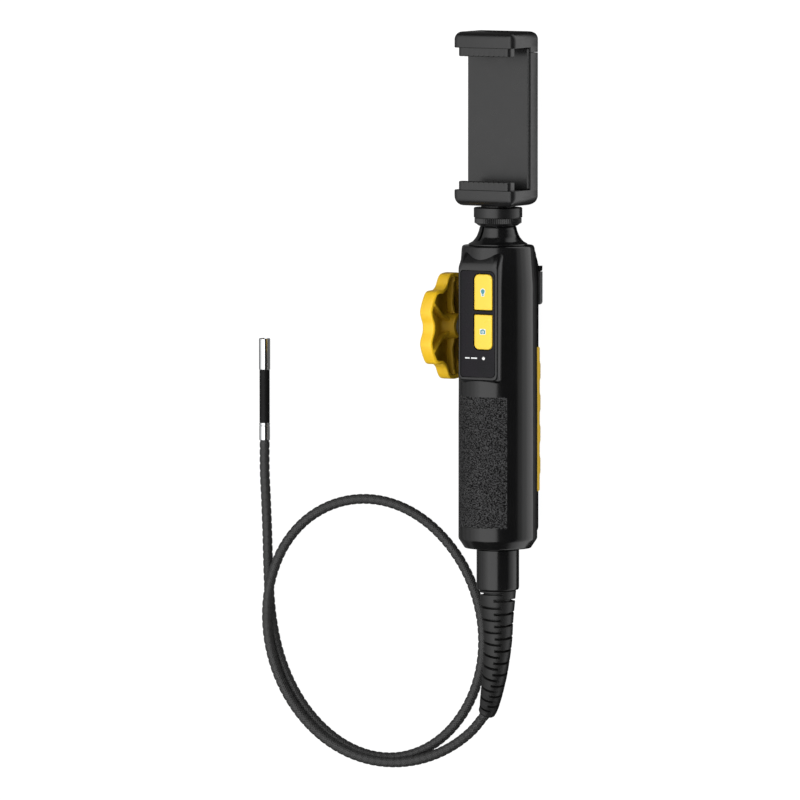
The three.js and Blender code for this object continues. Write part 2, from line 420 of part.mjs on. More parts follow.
// wedge that clears the neighbour when a hinge folds
const wedge = (y, dir) => {
  const R = 4;
  return prism('z', dir > 0
    ? [[-R, y - APEX - R * TAN], [0, y - APEX], [R, y - APEX - R * TAN], [R, y + 5], [-R, y + 5]]
    : [[-R, y + APEX + R * TAN], [-R, y - 5], [R, y - 5], [R, y + APEX + R * TAN], [0, y + APEX]], -4, 4);
};
put(tip, 'tip_base_ring', cut(join(
  rod('y', 2.85, TIP_Y0, BEND_Y0 - 0.2, [0, 0], 20),
  rod('y', LINK_R, BEND_Y0 - 0.5, hinge(1), [0, 0], 16)), rod('y', LINK_BORE, 0, 100, [0, 0], 8), wedge(hinge(1), 1)), M.chrome);
for (let i = 1; i < LINKS; i++) {
  put(tip, 'bend_link_' + i, cut(rod('y', LINK_R, hinge(i), hinge(i + 1), [0, 0], 16), rod('y', LINK_BORE, 0, 100, [0, 0], 8), wedge(hinge(i), -1), wedge(hinge(i + 1), 1)), M.part);
}
const HEAD_Y0 = BEND_Y0 + BEND_L;
put(tip, 'camera_head', cut(join(
  rod('y', LINK_R, hinge(LINKS), HEAD_Y0 + 0.3, [0, 0], 16),
  rod('y', 3.0, HEAD_Y0, HEAD_END, [0, 0], 24)), rod('y', LINK_BORE, 0, 100, [0, 0], 8), rod('y', 2.45, HEAD_Y0 + 4, HEAD_END + 1, [0, 0], 20), wedge(hinge(LINKS), -1)), M.chrome);
put(tip, 'camera_module', rodGeo('y', 1.2, HEAD_Y0 + 6, HEAD_END - 1.2, [0, 0], 16), M.part);
put(tip, 'led_board', rodGeo('y', 2.15, HEAD_END - 2.6, HEAD_END - 1.3, [0, 0], 20, 1.5), M.light);
put(tip, 'lens_window', rodGeo('y', 2.15, HEAD_END - 0.9, HEAD_END - 0.25, [0, 0], 20), M.glass);

export default handle;
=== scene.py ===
import bpy, bmesh, math, random
import numpy as np
from mathutils import Vector, Matrix

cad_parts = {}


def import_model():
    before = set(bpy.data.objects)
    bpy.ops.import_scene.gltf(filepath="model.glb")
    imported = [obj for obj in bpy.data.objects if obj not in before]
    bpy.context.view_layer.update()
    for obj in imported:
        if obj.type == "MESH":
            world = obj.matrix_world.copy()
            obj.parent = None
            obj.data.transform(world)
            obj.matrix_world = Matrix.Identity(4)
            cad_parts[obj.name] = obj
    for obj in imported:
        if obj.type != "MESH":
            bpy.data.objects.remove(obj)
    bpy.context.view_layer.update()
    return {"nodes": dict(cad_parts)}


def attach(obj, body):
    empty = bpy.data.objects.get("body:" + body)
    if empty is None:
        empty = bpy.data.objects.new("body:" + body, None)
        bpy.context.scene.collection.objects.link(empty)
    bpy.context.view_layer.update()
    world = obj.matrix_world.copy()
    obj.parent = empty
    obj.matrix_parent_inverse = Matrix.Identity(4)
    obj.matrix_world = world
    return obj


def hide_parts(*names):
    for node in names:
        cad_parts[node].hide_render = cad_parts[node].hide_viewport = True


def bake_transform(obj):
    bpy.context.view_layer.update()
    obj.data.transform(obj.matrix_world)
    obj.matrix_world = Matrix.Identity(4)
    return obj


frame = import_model()
random.seed(7)
rng = np.random.RandomState(11)

# ------------------------------------------------------------------ the frame
# handle coordinates in millimetres: x to the right, h along the handle from the
# foot of the body, z out of the panel from the handle's axis
OX, OH, OZ = 6.0, 125.85, 27.0
def P(x, h, z):
    return ((x + OX) / 1000.0, (h - OH) / 1000.0, (z + OZ) / 1000.0)

# ---------------------------------------------------------------- camera
A, EL = math.radians(30.0), math.radians(4.3)
back = Vector((math.sin(A) * math.cos(EL), math.sin(EL), math.cos(A) * math.cos(EL)))
right = Vector((math.cos(A), 0.0, -math.sin(A)))
up = back.cross(right)
DIST, WIDTH = 6.0, 0.424
aim = Vector(P(0, 78.4, 0)) + right * (-0.0519)
cam = bpy.data.cameras.new("camera")
cam.sensor_width = 36.0
cam.lens = 36.0 * DIST / WIDTH
cam.clip_end = 50.0
co = bpy.data.objects.new("camera", cam)
bpy.context.scene.collection.objects.link(co)
rot = Matrix((right, up, back)).transposed().to_4x4()
ROLL = math.radians(0.0)
co.matrix_world = Matrix.Translation(aim + back * DIST) @ rot @ Matrix.Rotation(ROLL, 4, 'Z')
bpy.context.scene.camera = co

# ---------------------------------------------------------------- materials
def principled(name, color, rough, metal=0.0, spec=0.5, ior=None):
    m = bpy.data.materials.new(name)
    m.use_nodes = True
    b = m.node_tree.nodes["Principled BSDF"]
    b.inputs["Base Color"].default_value = (*color, 1)
    b.inputs["Roughness"].default_value = rough
    b.inputs["Metallic"].default_value = metal
    b.inputs["Specular IOR Level"].default_value = spec
    if ior:
        b.inputs["IOR"].default_value = ior
    return m, m.node_tree, b

def N(nt, kind, **kw):
    n = nt.nodes.new(kind)
    for k, v in kw.items():
        if k in n.inputs.keys():
            n.inputs[k].default_value = v
        else:
            setattr(n, k, v)
    return n

def coords(nt, scale=1.0):
    t = N(nt, "ShaderNodeTexCoord")
    mp = N(nt, "ShaderNodeMapping")
    nt.links.new(t.outputs["Object"], mp.inputs["Vector"])
    mp.inputs["Scale"].default_value = (scale,) * 3 if not isinstance(scale, tuple) else scale
    return mp.outputs["Vector"]

def noise(nt, vec, scale, detail=3.0, rough=0.5):
    n = N(nt, "ShaderNodeTexNoise")
    n.inputs["Scale"].default_value = scale
    n.inputs["Detail"].default_value = detail
    n.inputs["Roughness"].default_value = rough
    nt.links.new(vec, n.inputs["Vector"])
    return n.outputs["Fac"]

def ramp(nt, fac, stops):
    r = N(nt, "ShaderNodeValToRGB")
    e = r.color_ramp.elements
    while len(e) < len(stops):
        e.new(0.5)
    for el, (p, c) in zip(e, stops):
        el.position = p
        el.color = (*c, 1) if len(c) == 3 else c
    nt.links.new(fac, r.inputs["Fac"])
    return r.outputs["Color"]

def maprange(nt, fac, a, b, c, d):
    m = N(nt, "ShaderNodeMapRange")
    for k, v in zip(("From Min", "From Max", "To Min", "To Max"), (a, b, c, d)):
        m.inputs[k].default_value = v
    nt.links.new(fac, m.inputs["Value"])
    return m.outputs["Result"]

def bump(nt, height, strength, dist, prev=None):
    b = N(nt, "ShaderNodeBump")
    b.inputs["Strength"].default_value = strength
    b.inputs["Distance"].default_value = dist
    nt.links.new(height, b.inputs["Height"])
    if prev is not None:
        nt.links.new(prev, b.inputs["Normal"])
    return b.outputs["Normal"]

def plastic(name, color, rough, grain=2600.0, gstr=0.18, var=0.25, spec=0.5, wear=0.0):
    """moulded plastic: spark-eroded grain, slow colour and gloss variation, lighter worn edges"""
    m, nt, b = principled(name, color, rough, spec=spec)
    v = coords(nt)
    slow = noise(nt, v, 38.0, 4.0)
    fine = noise(nt, v, grain, 2.0, 0.6)
    c0 = tuple(max(0.0, c * (1 - var)) for c in color)
    c1 = tuple(min(1.0, c * (1 + var)) for c in color)
    col = ramp(nt, slow, [(0.3, c0), (0.7, c1)])
    if wear > 0:
        geo = N(nt, "ShaderNodeNewGeometry")
        edge = maprange(nt, geo.outputs["Pointiness"], 0.52, 0.6, 0.0, wear)
        mix = N(nt, "ShaderNodeMix", data_type='RGBA')
        nt.links.new(edge, mix.inputs[0])
        nt.links.new(col, mix.inputs[6])
        mix.inputs[7].default_value = (*[min(1, c * 1.5 + 0.03) for c in color], 1)
        col = mix.outputs[2]
    nt.links.new(col, b.inputs["Base Color"])
    r = maprange(nt, noise(nt, v, 160.0, 5.0), 0.3, 0.7, rough * 0.88, rough * 1.14)
    nt.links.new(r, b.inputs["Roughness"])
    nt.links.new(bump(nt, fine, gstr, 0.00006), b.inputs["Normal"])
    return m

MAT = {}
MAT["shell"] = plastic("shell_black", (0.0042, 0.0042, 0.0044), 0.2, 3000.0, 0.06, 0.2)
MAT["clamp"] = plastic("clamp_black", (0.0075, 0.0075, 0.0078), 0.3, 2400.0, 0.12, 0.15)
MAT["rubber"] = plastic("rubber_black", (0.008, 0.008, 0.008), 0.42, 1700.0, 0.2, 0.2, spec=0.45)
MAT["dark"] = plastic("dark_plastic", (0.03, 0.03, 0.032), 0.45, 2400.0, 0.2, 0.2)
MAT["yellow"] = plastic("knob_yellow", (0.86, 0.53, 0.018), 0.34, 2200.0, 0.10, 0.04, spec=0.45)
MAT["grip"] = plastic("grip_yellow", (0.88, 0.58, 0.07), 0.5, 1900.0, 0.25, 0.05, spec=0.4)
# darker yellow for the inside of the knob's dish: painted shade, the knob itself is one yellow plastic
MAT["dish"] = plastic("knob_yellow_painted_shade", (0.42, 0.25, 0.010), 0.5, 2200.0, 0.12, 0.08, spec=0.2)
MAT["spine"] = plastic("spine_black", (0.0035, 0.0035, 0.0036), 0.42, 3000.0, 0.08, 0.2, spec=0.16)
MAT["skin"] = plastic("skin_black", (0.0055, 0.0055, 0.0056), 0.5, 1700.0, 0.2, 0.2, spec=0.16)
MAT["button"] = plastic("button_yellow", (0.92, 0.62, 0.05), 0.3, 2600.0, 0.06, 0.03, spec=0.5)

def leather():
    """the moulded grip field: coarse spark-eroded pebbles with pits between them"""
    m, nt, b = principled("shell_grain", (0.006, 0.006, 0.0063), 0.34)
    v = coords(nt)
    n1 = noise(nt, v, 1450.0, 2.0, 0.6)
    n2 = noise(nt, v, 2600.0, 3.0, 0.6)
    nrm = bump(nt, n1, 1.0, 0.0009)
    nrm = bump(nt, n2, 0.5, 0.00015, nrm)
    nt.links.new(nrm, b.inputs["Normal"])
    # base colour follows the bump noise: the pits are painted near black and the pebble tops lighter, painted shade
    # and painted highlight for the light the grain catches, on a plastic that is one black
    col = ramp(nt, n1, [(0.44, (0.0012, 0.0012, 0.0012)), (0.57, (0.034, 0.034, 0.035))])
    nt.links.new(col, b.inputs["Base Color"])
    nt.links.new(maprange(nt, n1, 0.42, 0.58, 0.5, 0.3), b.inputs["Roughness"])
    nt.links.new(maprange(nt, n1, 0.43, 0.56, 0.08, 0.5), b.inputs["Specular IOR Level"])
    return m
MAT["leather"] = leather()

def gloss():
    m, nt, b = principled("panel_film", (0.0075, 0.0068, 0.009), 0.3, spec=0.14)
    v = coords(nt)
    nt.links.new(ramp(nt, noise(nt, v, 70.0, 2.0), [(0.3, (0.006, 0.006, 0.0075)), (0.55, (0.009, 0.0075, 0.0105)), (0.75, (0.008, 0.0085, 0.0095))]), b.inputs["Base Color"])
    nt.links.new(maprange(nt, noise(nt, v, 420.0, 5.0), 0.35, 0.7, 0.24, 0.36), b.inputs["Roughness"])
    nt.links.new(bump(nt, noise(nt, v, 3200.0, 2.0), 0.08, 0.00004), b.inputs["Normal"])
    return m
MAT["gloss"] = gloss()

def metal(name, color, rough, brushed=True, axis=(1, 1, 0.05)):
    m, nt, b = principled(name, color, rough, metal=1.0)
    v = coords(nt)
    mp = N(nt, "ShaderNodeMapping")
    mp.inputs["Scale"].default_value = axis
    nt.links.new(v, mp.inputs["Vector"])
    fine = noise(nt, mp.outputs["Vector"], 3200.0, 3.0)
    nt.links.new(maprange(nt, fine, 0.3, 0.7, rough * 0.8, rough * 1.3), b.inputs["Roughness"])
    slow = noise(nt, v, 120.0, 4.0)
    nt.links.new(ramp(nt, slow, [(0.3, tuple(c * 0.93 for c in color)), (0.7, color)]), b.inputs["Base Color"])
    if brushed:
        nt.links.new(bump(nt, fine, 0.12, 0.00004), b.inputs["Normal"])
    return m
MAT["chrome"] = metal("tip_chrome", (0.78, 0.79, 0.8), 0.09, False)
MAT["steel"] = metal("steel", (0.55, 0.56, 0.58), 0.28)
MAT["brass"] = metal("brass", (0.72, 0.5, 0.2), 0.25)

def board():
    m, nt, b = principled("circuit_board", (0.015, 0.12, 0.04), 0.35)
    v = coords(nt)
    w = N(nt, "ShaderNodeTexBrick")
    w.inputs["Scale"].default_value = 420.0
    w.inputs["Color1"].default_value = (0.012, 0.11, 0.035, 1)
    w.inputs["Color2"].default_value = (0.02, 0.16, 0.05, 1)
    w.inputs["Mortar"].default_value = (0.08, 0.3, 0.1, 1)
    nt.links.new(v, w.inputs["Vector"])
    nt.links.new(w.outputs["Color"], b.inputs["Base Color"])
    nt.links.new(bump(nt, w.outputs["Fac"], 0.2, 0.00005), b.inputs["Normal"])
    return m
MAT["board"] = board()
MAT["cell"] = plastic("battery_wrap", (0.03, 0.12, 0.42), 0.25, 900.0, 0.1, 0.1)
MAT["diffuser"] = plastic("light_diffuser", (0.82, 0.82, 0.8), 0.3, 1200.0, 0.05, 0.03)

def glass():
    m, nt, b = principled("lens_glass", (0.03, 0.035, 0.05), 0.03)
    b.inputs["Coat Weight"].default_value = 1.0
    b.inputs["Coat Roughness"].default_value = 0.02
    nt.links.new(ramp(nt, noise(nt, coords(nt), 800.0, 2.0), [(0.35, (0.015, 0.02, 0.04)), (0.7, (0.05, 0.045, 0.07))]), b.inputs["Base Color"])
    return m
MAT["lens"] = glass()

def braid():
    """woven sleeve over the corrugated tube: uv.x runs along the tube in link pitches, uv.y round it"""
    m, nt, b = principled("tube_braid", (0.02, 0.02, 0.02), 0.42)
    uv = N(nt, "ShaderNodeUVMap")
    uv.uv_map = "along"
    def strands(sx, sy):
        mp = N(nt, "ShaderNodeMapping")
        mp.inputs["Scale"].default_value = (sx, sy, 1)
        nt.links.new(uv.outputs["UV"], mp.inputs["Vector"])
        s = N(nt, "ShaderNodeSeparateXYZ")
        nt.links.new(mp.outputs["Vector"], s.inputs["Vector"])
        a = N(nt, "ShaderNodeMath", operation='ADD')
        nt.links.new(s.outputs["X"], a.inputs[0])
        nt.links.new(s.outputs["Y"], a.inputs[1])
        k = N(nt, "ShaderNodeMath", operation='MULTIPLY')
        k.inputs[1].default_value = math.pi * 2
        nt.links.new(a.outputs[0], k.inputs[0])
        f = N(nt, "ShaderNodeMath", operation='SINE')
        nt.links.new(k.outputs[0], f.inputs[0])
        return f.outputs[0]
    a, c = strands(3.0, 10.0), strands(3.0, -10.0)
    mx = N(nt, "ShaderNodeMath", operation='MAXIMUM')
    nt.links.new(a, mx.inputs[0])
    nt.links.new(c, mx.inputs[1])
    v = coords(nt)
    nt.links.new(ramp(nt, mx.outputs[0], [(0.1, (0.006, 0.006, 0.006)), (0.9, (0.034, 0.034, 0.034))]), b.inputs["Base Color"])
    nrm = bump(nt, mx.outputs[0], 0.5, 0.00016)
    nrm = bump(nt, noise(nt, v, 3000.0, 2.0), 0.2, 0.00005, nrm)
    nt.links.new(nrm, b.inputs["Normal"])
    nt.links.new(maprange(nt, noise(nt, v, 90.0, 3.0), 0.3, 0.7, 0.36, 0.5), b.inputs["Roughness"])
    return m
MAT["braid"] = braid()

def mark(name, color, rough=0.35):
    m, nt, b = principled(name, color, rough)
    nt.links.new(ramp(nt, noise(nt, coords(nt), 1500.0, 2.0), [(0.3, tuple(c * 0.92 for c in color)), (0.7, color)]), b.inputs["Base Color"])
    return m
MAT["white"] = mark("print_white", (0.82, 0.84, 0.84))
MAT["teal"] = mark("print_teal", (0.06, 0.27, 0.31))

# ------------------------------------------------------------ mesh builders
def obj(name, verts, faces, mat, smooth=True, angle=38, mats=None, face_mat=None):
    me = bpy.data.meshes.new(name)
    me.from_pydata([P(*v) for v in verts], [], faces)
    o = bpy.data.objects.new(name, me)
    bpy.context.scene.collection.objects.link(o)
    for m in (mats or [mat]):
        me.materials.append(m)
    bm = bmesh.new()
    bm.from_mesh(me)
    bmesh.ops.recalc_face_normals(bm, faces=bm.faces)
    if face_mat is not None:
        bm.faces.ensure_lookup_table()
        for f in bm.faces:
            f.material_index = face_mat(f)
    bm.to_mesh(me)
    bm.free()
    shade(o, smooth, angle)
    return o

def shade(o, smooth=True, angle=38):
    me = o.data
    for p in me.polygons:
        p.use_smooth = smooth
    if smooth:
        ca = math.cos(math.radians(angle))
        bm = bmesh.new()
        bm.from_mesh(me)
        for e in bm.edges:
            if len(e.link_faces) == 2:
                e.smooth = e.link_faces[0].normal.dot(e.link_faces[1].normal) > ca
        bm.to_mesh(me)
        bm.free()

def rings_mesh(rings, closed_u=True, cap0=True, cap1=True):
    """skins a list of rings with equal counts; a ring of one point is a pole"""
    verts, idx = [], []
    for r in rings:
        idx.append(list(range(len(verts), len(verts) + len(r))))
        verts += [tuple(map(float, p)) for p in r]
    faces = []
    for a, b in zip(idx, idx[1:]):
        n = max(len(a), len(b))
        m = n if closed_u else n - 1
        for i in range(m):
            j = (i + 1) % n
            if len(a) == 1:
                faces.append((a[0], b[j], b[i]))
            elif len(b) == 1:
                faces.append((a[i], a[j], b[0]))
            else:
                faces.append((a[i], a[j], b[j], b[i]))
    if cap0 and len(idx[0]) > 2:
        faces.append(tuple(reversed(idx[0])))
    if cap1 and len(idx[-1]) > 2:
        faces.append(tuple(idx[-1]))
    return verts, faces

def fillet(points, n=4, close=False):
    """polyline of (a, b, radius): corners of that radius replaced by arcs"""
    pts = [(p[0], p[1], p[2] if len(p) > 2 else 0.0) for p in points]
    out = []
    L = len(pts)
    for i, (a, b, r) in enumerate(pts):
        if r <= 0 or (not close and i in (0, L - 1)):
            out.append((a, b))
            continue
        p0, p1, p2 = np.array(pts[i - 1][:2]), np.array((a, b)), np.array(pts[(i + 1) % L][:2])
        u, v = p0 - p1, p2 - p1
        lu, lv = np.linalg.norm(u), np.linalg.norm(v)
        u, v = u / lu, v / lv
        cosang = float(np.clip(u @ v, -1, 1))
        ang = math.acos(cosang)
        if ang > math.pi - 1e-3 or ang < 1e-3:
            out.append((a, b))
            continue
        t = min(r / math.tan(ang / 2), lu * 0.49, lv * 0.49)
        rr = t * math.tan(ang / 2)
        c = p1 + (u + v) / np.linalg.norm(u + v) * (rr / math.sin(ang / 2))
        s, e = p1 + u * t, p1 + v * t
        a0 = math.atan2(*(s - c)[::-1])
        a1 = math.atan2(*(e - c)[::-1])
        d = (a1 - a0 + math.pi) % (2 * math.pi) - math.pi
        for k in range(n + 1):
            q = a0 + d * k / n
            out.append((c[0] + rr * math.cos(q), c[1] + rr * math.sin(q)))
    return out

def revolve(name, profile, mat, seg=64, cx=0.0, cz=0.0, close=True, n=4, **kw):
    """profile of (r, h, fillet radius) turned about the handle direction"""
    pr = fillet(profile, n, close)
    verts, faces = [], []
    poles = {}
    ids = []
    for k, (r, h) in enumerate(pr):
        if r < 1e-6:
            verts.append((cx, h, cz))
            ids.append([len(verts) - 1])
        else:
            ids.append(list(range(len(verts), len(verts) + seg)))
            for i in range(seg):
                t = 2 * math.pi * i / seg
                verts.append((cx + r * math.sin(t), h, cz + r * math.cos(t)))
    pairs = list(zip(ids, ids[1:])) + ([(ids[-1], ids[0])] if close and not (len(ids[0]) == 1 and len(ids[-1]) == 1) else [])
    for a, b in pairs:
        for i in range(seg):
            j = (i + 1) % seg
            if len(a) == 1 and len(b) == 1:
                continue
            if len(a) == 1:
                faces.append((a[0], b[i], b[j]))
            elif len(b) == 1:
                faces.append((a[j], a[i], b[0]))
            else:
                faces.append((a[j], a[i], b[i], b[j]))
    return obj(name, verts, faces, mat, **kw)

def rrect(a0, a1, b0, b1, r, n=6, inset=0.0):
    """rounded rectangle; r is one radius or four (a0b0, a1b0, a1b1, a0b1)"""
    rs = list(r) if isinstance(r, (tuple, list)) else [r] * 4
    a0, a1, b0, b1 = a0 + inset, a1 - inset, b0 + inset, b1 - inset
    rs = [max(0.02, q - inset) for q in rs]
    cs = [(a0 + rs[0], b0 + rs[0], math.pi), (a1 - rs[1], b0 + rs[1], 1.5 * math.pi), (a1 - rs[2], b1 - rs[2], 0.0), (a0 + rs[3], b1 - rs[3], 0.5 * math.pi)]
    out = []
    for (ca, cb, t0), q in zip(cs, rs):
        for k in range(n + 1):
            t = t0 + k / n * math.pi / 2
            out.append((ca + q * math.cos(t), cb + q * math.sin(t)))
    return out

MAPS = {"z": lambda a, b, c: (a, b, c), "x": lambda a, b, c: (c, a, b), "y": lambda a, b, c: (b, c, a)}
def slab(name, outline, lo, hi, bev, mat, axis="z", n=3, lo_bev=None, **kw):
    """outline(inset) gives a ring; the slab runs lo to hi along axis with rounded rims"""
    lb = bev if lo_bev is None else lo_bev
    rings = []
    f = MAPS[axis]
    steps = []
    for k in range(n + 1):
        t = math.pi / 2 * k / n
        steps.append((lb * (1 - math.sin(t)), lo + lb * (1 - math.cos(t))) if lb > 0 else (0, lo))
    for k in range(n + 1):
        t = math.pi / 2 * k / n
        steps.append((bev * (1 - math.cos(t)), hi - bev * (1 - math.sin(t))) if bev > 0 else (0, hi))
    seen = []
    for i, c in steps:
        if seen and abs(seen[-1][0] - i) < 1e-7 and abs(seen[-1][1] - c) < 1e-7:
            continue
        seen.append((i, c))
        rings.append([f(a, b, c) for a, b in outline(i)])
    v, fc = rings_mesh(rings)
    return obj(name, v, fc, mat, **kw)

def poly_inset(pts, d):
    """insets a closed polygon (counter-clockwise) by d along its corner bisectors"""
    p = np.array(pts, float)
    q = np.roll(p, 1, 0)
    r = np.roll(p, -1, 0)
    e0 = p - q
    e1 = r - p
    n0 = np.c_[-e0[:, 1], e0[:, 0]] / np.maximum(np.linalg.norm(e0, axis=1)[:, None], 1e-9)
    n1 = np.c_[-e1[:, 1], e1[:, 0]] / np.maximum(np.linalg.norm(e1, axis=1)[:, None], 1e-9)
    b = n0 + n1
    b /= np.maximum((b * b).sum(1)[:, None] / 2, 0.2)
    return [tuple(x) for x in p + b * d]

def apply_mods(o):
    dg = bpy.context.evaluated_depsgraph_get()
    me = bpy.data.meshes.new_from_object(o.evaluated_get(dg), preserve_all_data_layers=True, depsgraph=dg)
    o.modifiers.clear()
    old = o.data
    o.data = me
    bpy.data.meshes.remove(old)
    return o

def boolean(o, others, op="DIFFERENCE", angle=38):
    for c in others:
        m = o.modifiers.new("b", 'BOOLEAN')
        m.object = c
        m.operation = op
        m.solver = 'EXACT'
    bpy.context.view_layer.update()
    apply_mods(o)
    for c in others:
        bpy.data.objects.remove(c)
    shade(o, True, angle)
    return o

def block(x0, x1, h0, h1, z0, z1, bev=0.0):
    return slab("cutter", lambda i: rrect(x0, x1, h0, h1, 0.03, 1, i), z0, z1, bev, MAT["shell"])

def drill(axis, r, lo, hi, c=(0, 0), n=32):
    out = [(c[0] + r * math.cos(2 * math.pi * k / n), c[1] + r * math.sin(2 * math.pi * k / n)) for k in range(n)]
    return slab("cutter", lambda i: out, lo, hi, 0, MAT["shell"], axis=axis)

def bevel(o, w, seg=2, angle=35):
    m = o.modifiers.new("bevel", 'BEVEL')
    m.width = w / 1000.0
    m.segments = seg
    m.limit_method = 'ANGLE'
    m.angle_limit = math.radians(angle)
    m.harden_normals = False
    return o

def join(name, objs):
    """joins separate meshes into the first, each staying a closed body"""
    bm = bmesh.new()
    first = objs[0]
    mats = []
    for o in objs:
        base = len(bm.faces)
        off = {}
        for i, m in enumerate(o.data.materials):
            if m not in mats:
                mats.append(m)
            off[i] = mats.index(m)
        bm.from_mesh(o.data)
        bm.faces.ensure_lookup_table()
        for f in bm.faces[base:]:
            f.material_index = off.get(f.material_index, 0)
    me = bpy.data.meshes.new(name)
    bm.to_mesh(me)
    bm.free()
    for m in mats:
        me.materials.append(m)
    for o in objs[1:]:
        bpy.data.objects.remove(o)
    first.data = me
    first.name = name
    return first

def stand(o, body, *nodes, slot=None):
    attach(o, body)
    if nodes:
        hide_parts(*nodes)
    return o

# ============================================================ insertion tube
ROUTE = [[-14.60,-90.60,-13.10],[-26.31,-101.60,-16.57],[-39.98,-110.63,-18.09],[-55.14,-116.99,-18.61],[-71.27,-120.21,-18.69],[-87.71,-119.98,-18.65],[-103.71,-116.18,-18.64],[-118.47,-108.93,-18.66],[-131.26,-98.59,-18.65],[-141.47,-85.70,-18.54],[-148.65,-70.91,-18.36],[-152.58,-54.94,-18.26],[-153.23,-38.51,-18.58],[-150.61,-22.32,-19.76],[-144.44,-7.22,-21.76],[-134.10,5.39,-23.50],[-120.30,14.27,-24.18],[-104.61,19.12,-24.25],[-88.19,19.85,-24.19],[-72.11,16.44,-24.11],[-57.34,9.24,-24.09],[-44.58,-1.13,-24.11],[-34.34,-14.00,-24.16],[-27.08,-28.76,-24.20],[-23.25,-44.75,-24.23],[-23.18,-61.18,-24.25],[-27.00,-77.17,-24.25],[-34.55,-91.77,-24.25],[-45.44,-104.08,-24.24],[-59.15,-113.12,-24.24],[-74.83,-117.98,-24.24],[-91.25,-118.07,-24.24],[-107.05,-113.57,-24.25],[-121.23,-105.26,-24.25],[-133.19,-93.97,-24.25],[-142.58,-80.46,-24.25],[-149.24,-65.42,-24.25],[-153.27,-49.46,-24.24],[-155.27,-33.11,-24.24],[-156.09,-16.66,-24.24],[-156.60,-0.19,-24.25],[-157.30,16.28,-24.23],[-158.09,32.73,-24.16],[-158.00,49.20,-23.95]]

def spline(points, per=24):
    """centripetal Catmull-Rom through the points, finely sampled"""
    p = np.array(points, float)
    p = np.vstack([2 * p[0] - p[1], p, 2 * p[-1] - p[-2]])
    out = []
    for i in range(1, len(p) - 2):
        p0, p1, p2, p3 = p[i - 1:i + 3]
        t0 = 0.0
        t1 = t0 + np.linalg.norm(p1 - p0) ** 0.5
        t2 = t1 + np.linalg.norm(p2 - p1) ** 0.5
        t3 = t2 + np.linalg.norm(p3 - p2) ** 0.5
        for t in np.linspace(t1, t2, per, endpoint=False):
            a1 = (t1 - t) / (t1 - t0) * p0 + (t - t0) / (t1 - t0) * p1
            a2 = (t2 - t) / (t2 - t1) * p1 + (t - t1) / (t2 - t1) * p2
            a3 = (t3 - t) / (t3 - t2) * p2 + (t - t2) / (t3 - t2) * p3
            b1 = (t2 - t) / (t2 - t0) * a1 + (t - t0) / (t2 - t0) * a2
            b2 = (t3 - t) / (t3 - t1) * a2 + (t - t1) / (t3 - t1) * a3
            out.append((t2 - t) / (t2 - t1) * b1 + (t - t1) / (t2 - t1) * b2)
    out.append(p[-2])
    return np.array(out)

def evenly(path, step):
    d = np.r_[0, np.cumsum(np.linalg.norm(np.diff(path, axis=0), axis=1))]
    n = int(round(d[-1] / step))
    t = np.linspace(0, d[-1], n + 1)
    return np.array([np.interp(t, d, path[:, k]) for k in range(3)]).T, t

def frames(path):
    """parallel-transport frames along a path"""
    T = np.gradient(path, axis=0)
    T /= np.linalg.norm(T, axis=1)[:, None]
    n = np.cross(T[0], [0, 0, 1.0])
    n /= np.linalg.norm(n)
    Ns = [n]
    for a, b in zip(T, T[1:]):
        ax = np.cross(a, b)
        s = np.linalg.norm(ax)
        if s > 1e-9:
            ax /= s
            th = math.atan2(s, float(a @ b))
            n = n * math.cos(th) + np.cross(ax, n) * math.sin(th) + ax * (ax @ n) * (1 - math.cos(th))
        n = n - b * (n @ b)
        n /= np.linalg.norm(n)
        Ns.append(n)
    Ns = np.array(Ns)
    return T, Ns, np.cross(T, Ns)

def sweep(name, path, radii, mat, sides=20, caps=True, uv_pitch=None, s=None, **kw):
    T, Nn, B = frames(path)
    th = np.arange(sides) / sides * 2 * math.pi
    rings = []
    for i in range(len(path)):
        r = radii[i]
        rings.append(path[i] + r * (np.cos(th)[:, None] * Nn[i] + np.sin(th)[:, None] * B[i]))
    v, f = rings_mesh(rings, True, caps, caps)
    o = obj(name, v, f, mat, **kw)
    if uv_pitch:
        me = o.data
        uv = me.uv_layers.new(name="along")
        for p in me.polygons:
            if len(p.vertices) != 4:
                continue
            js = [vi % sides for vi in p.vertices]
            wrap = 0 in js and sides - 1 in js
            for li, vi in zip(p.loop_indices, p.vertices):
                i, j = divmod(vi, sides)
                uv.data[li].uv = (s[i] / uv_pitch, (j + (sides if wrap and j == 0 else 0)) / sides)
    return o

LINK = 4.0
tube_path, tube_s = evenly(spline(ROUTE), 0.5)
ph = (tube_s / LINK) % 1.0
groove = np.minimum(ph, 1 - ph) * LINK
tube_r = 2.7 - 0.36 * np.exp(-(groove / 0.42) ** 2) - 0.05 * np.abs(ph - 0.5) * 2
tube = sweep("insertion_sleeve", tube_path, tube_r, MAT["braid"], sides=20, uv_pitch=LINK, s=tube_s, angle=60)
stand(tube, "root", "insertion_tube", slot="tube_braid")

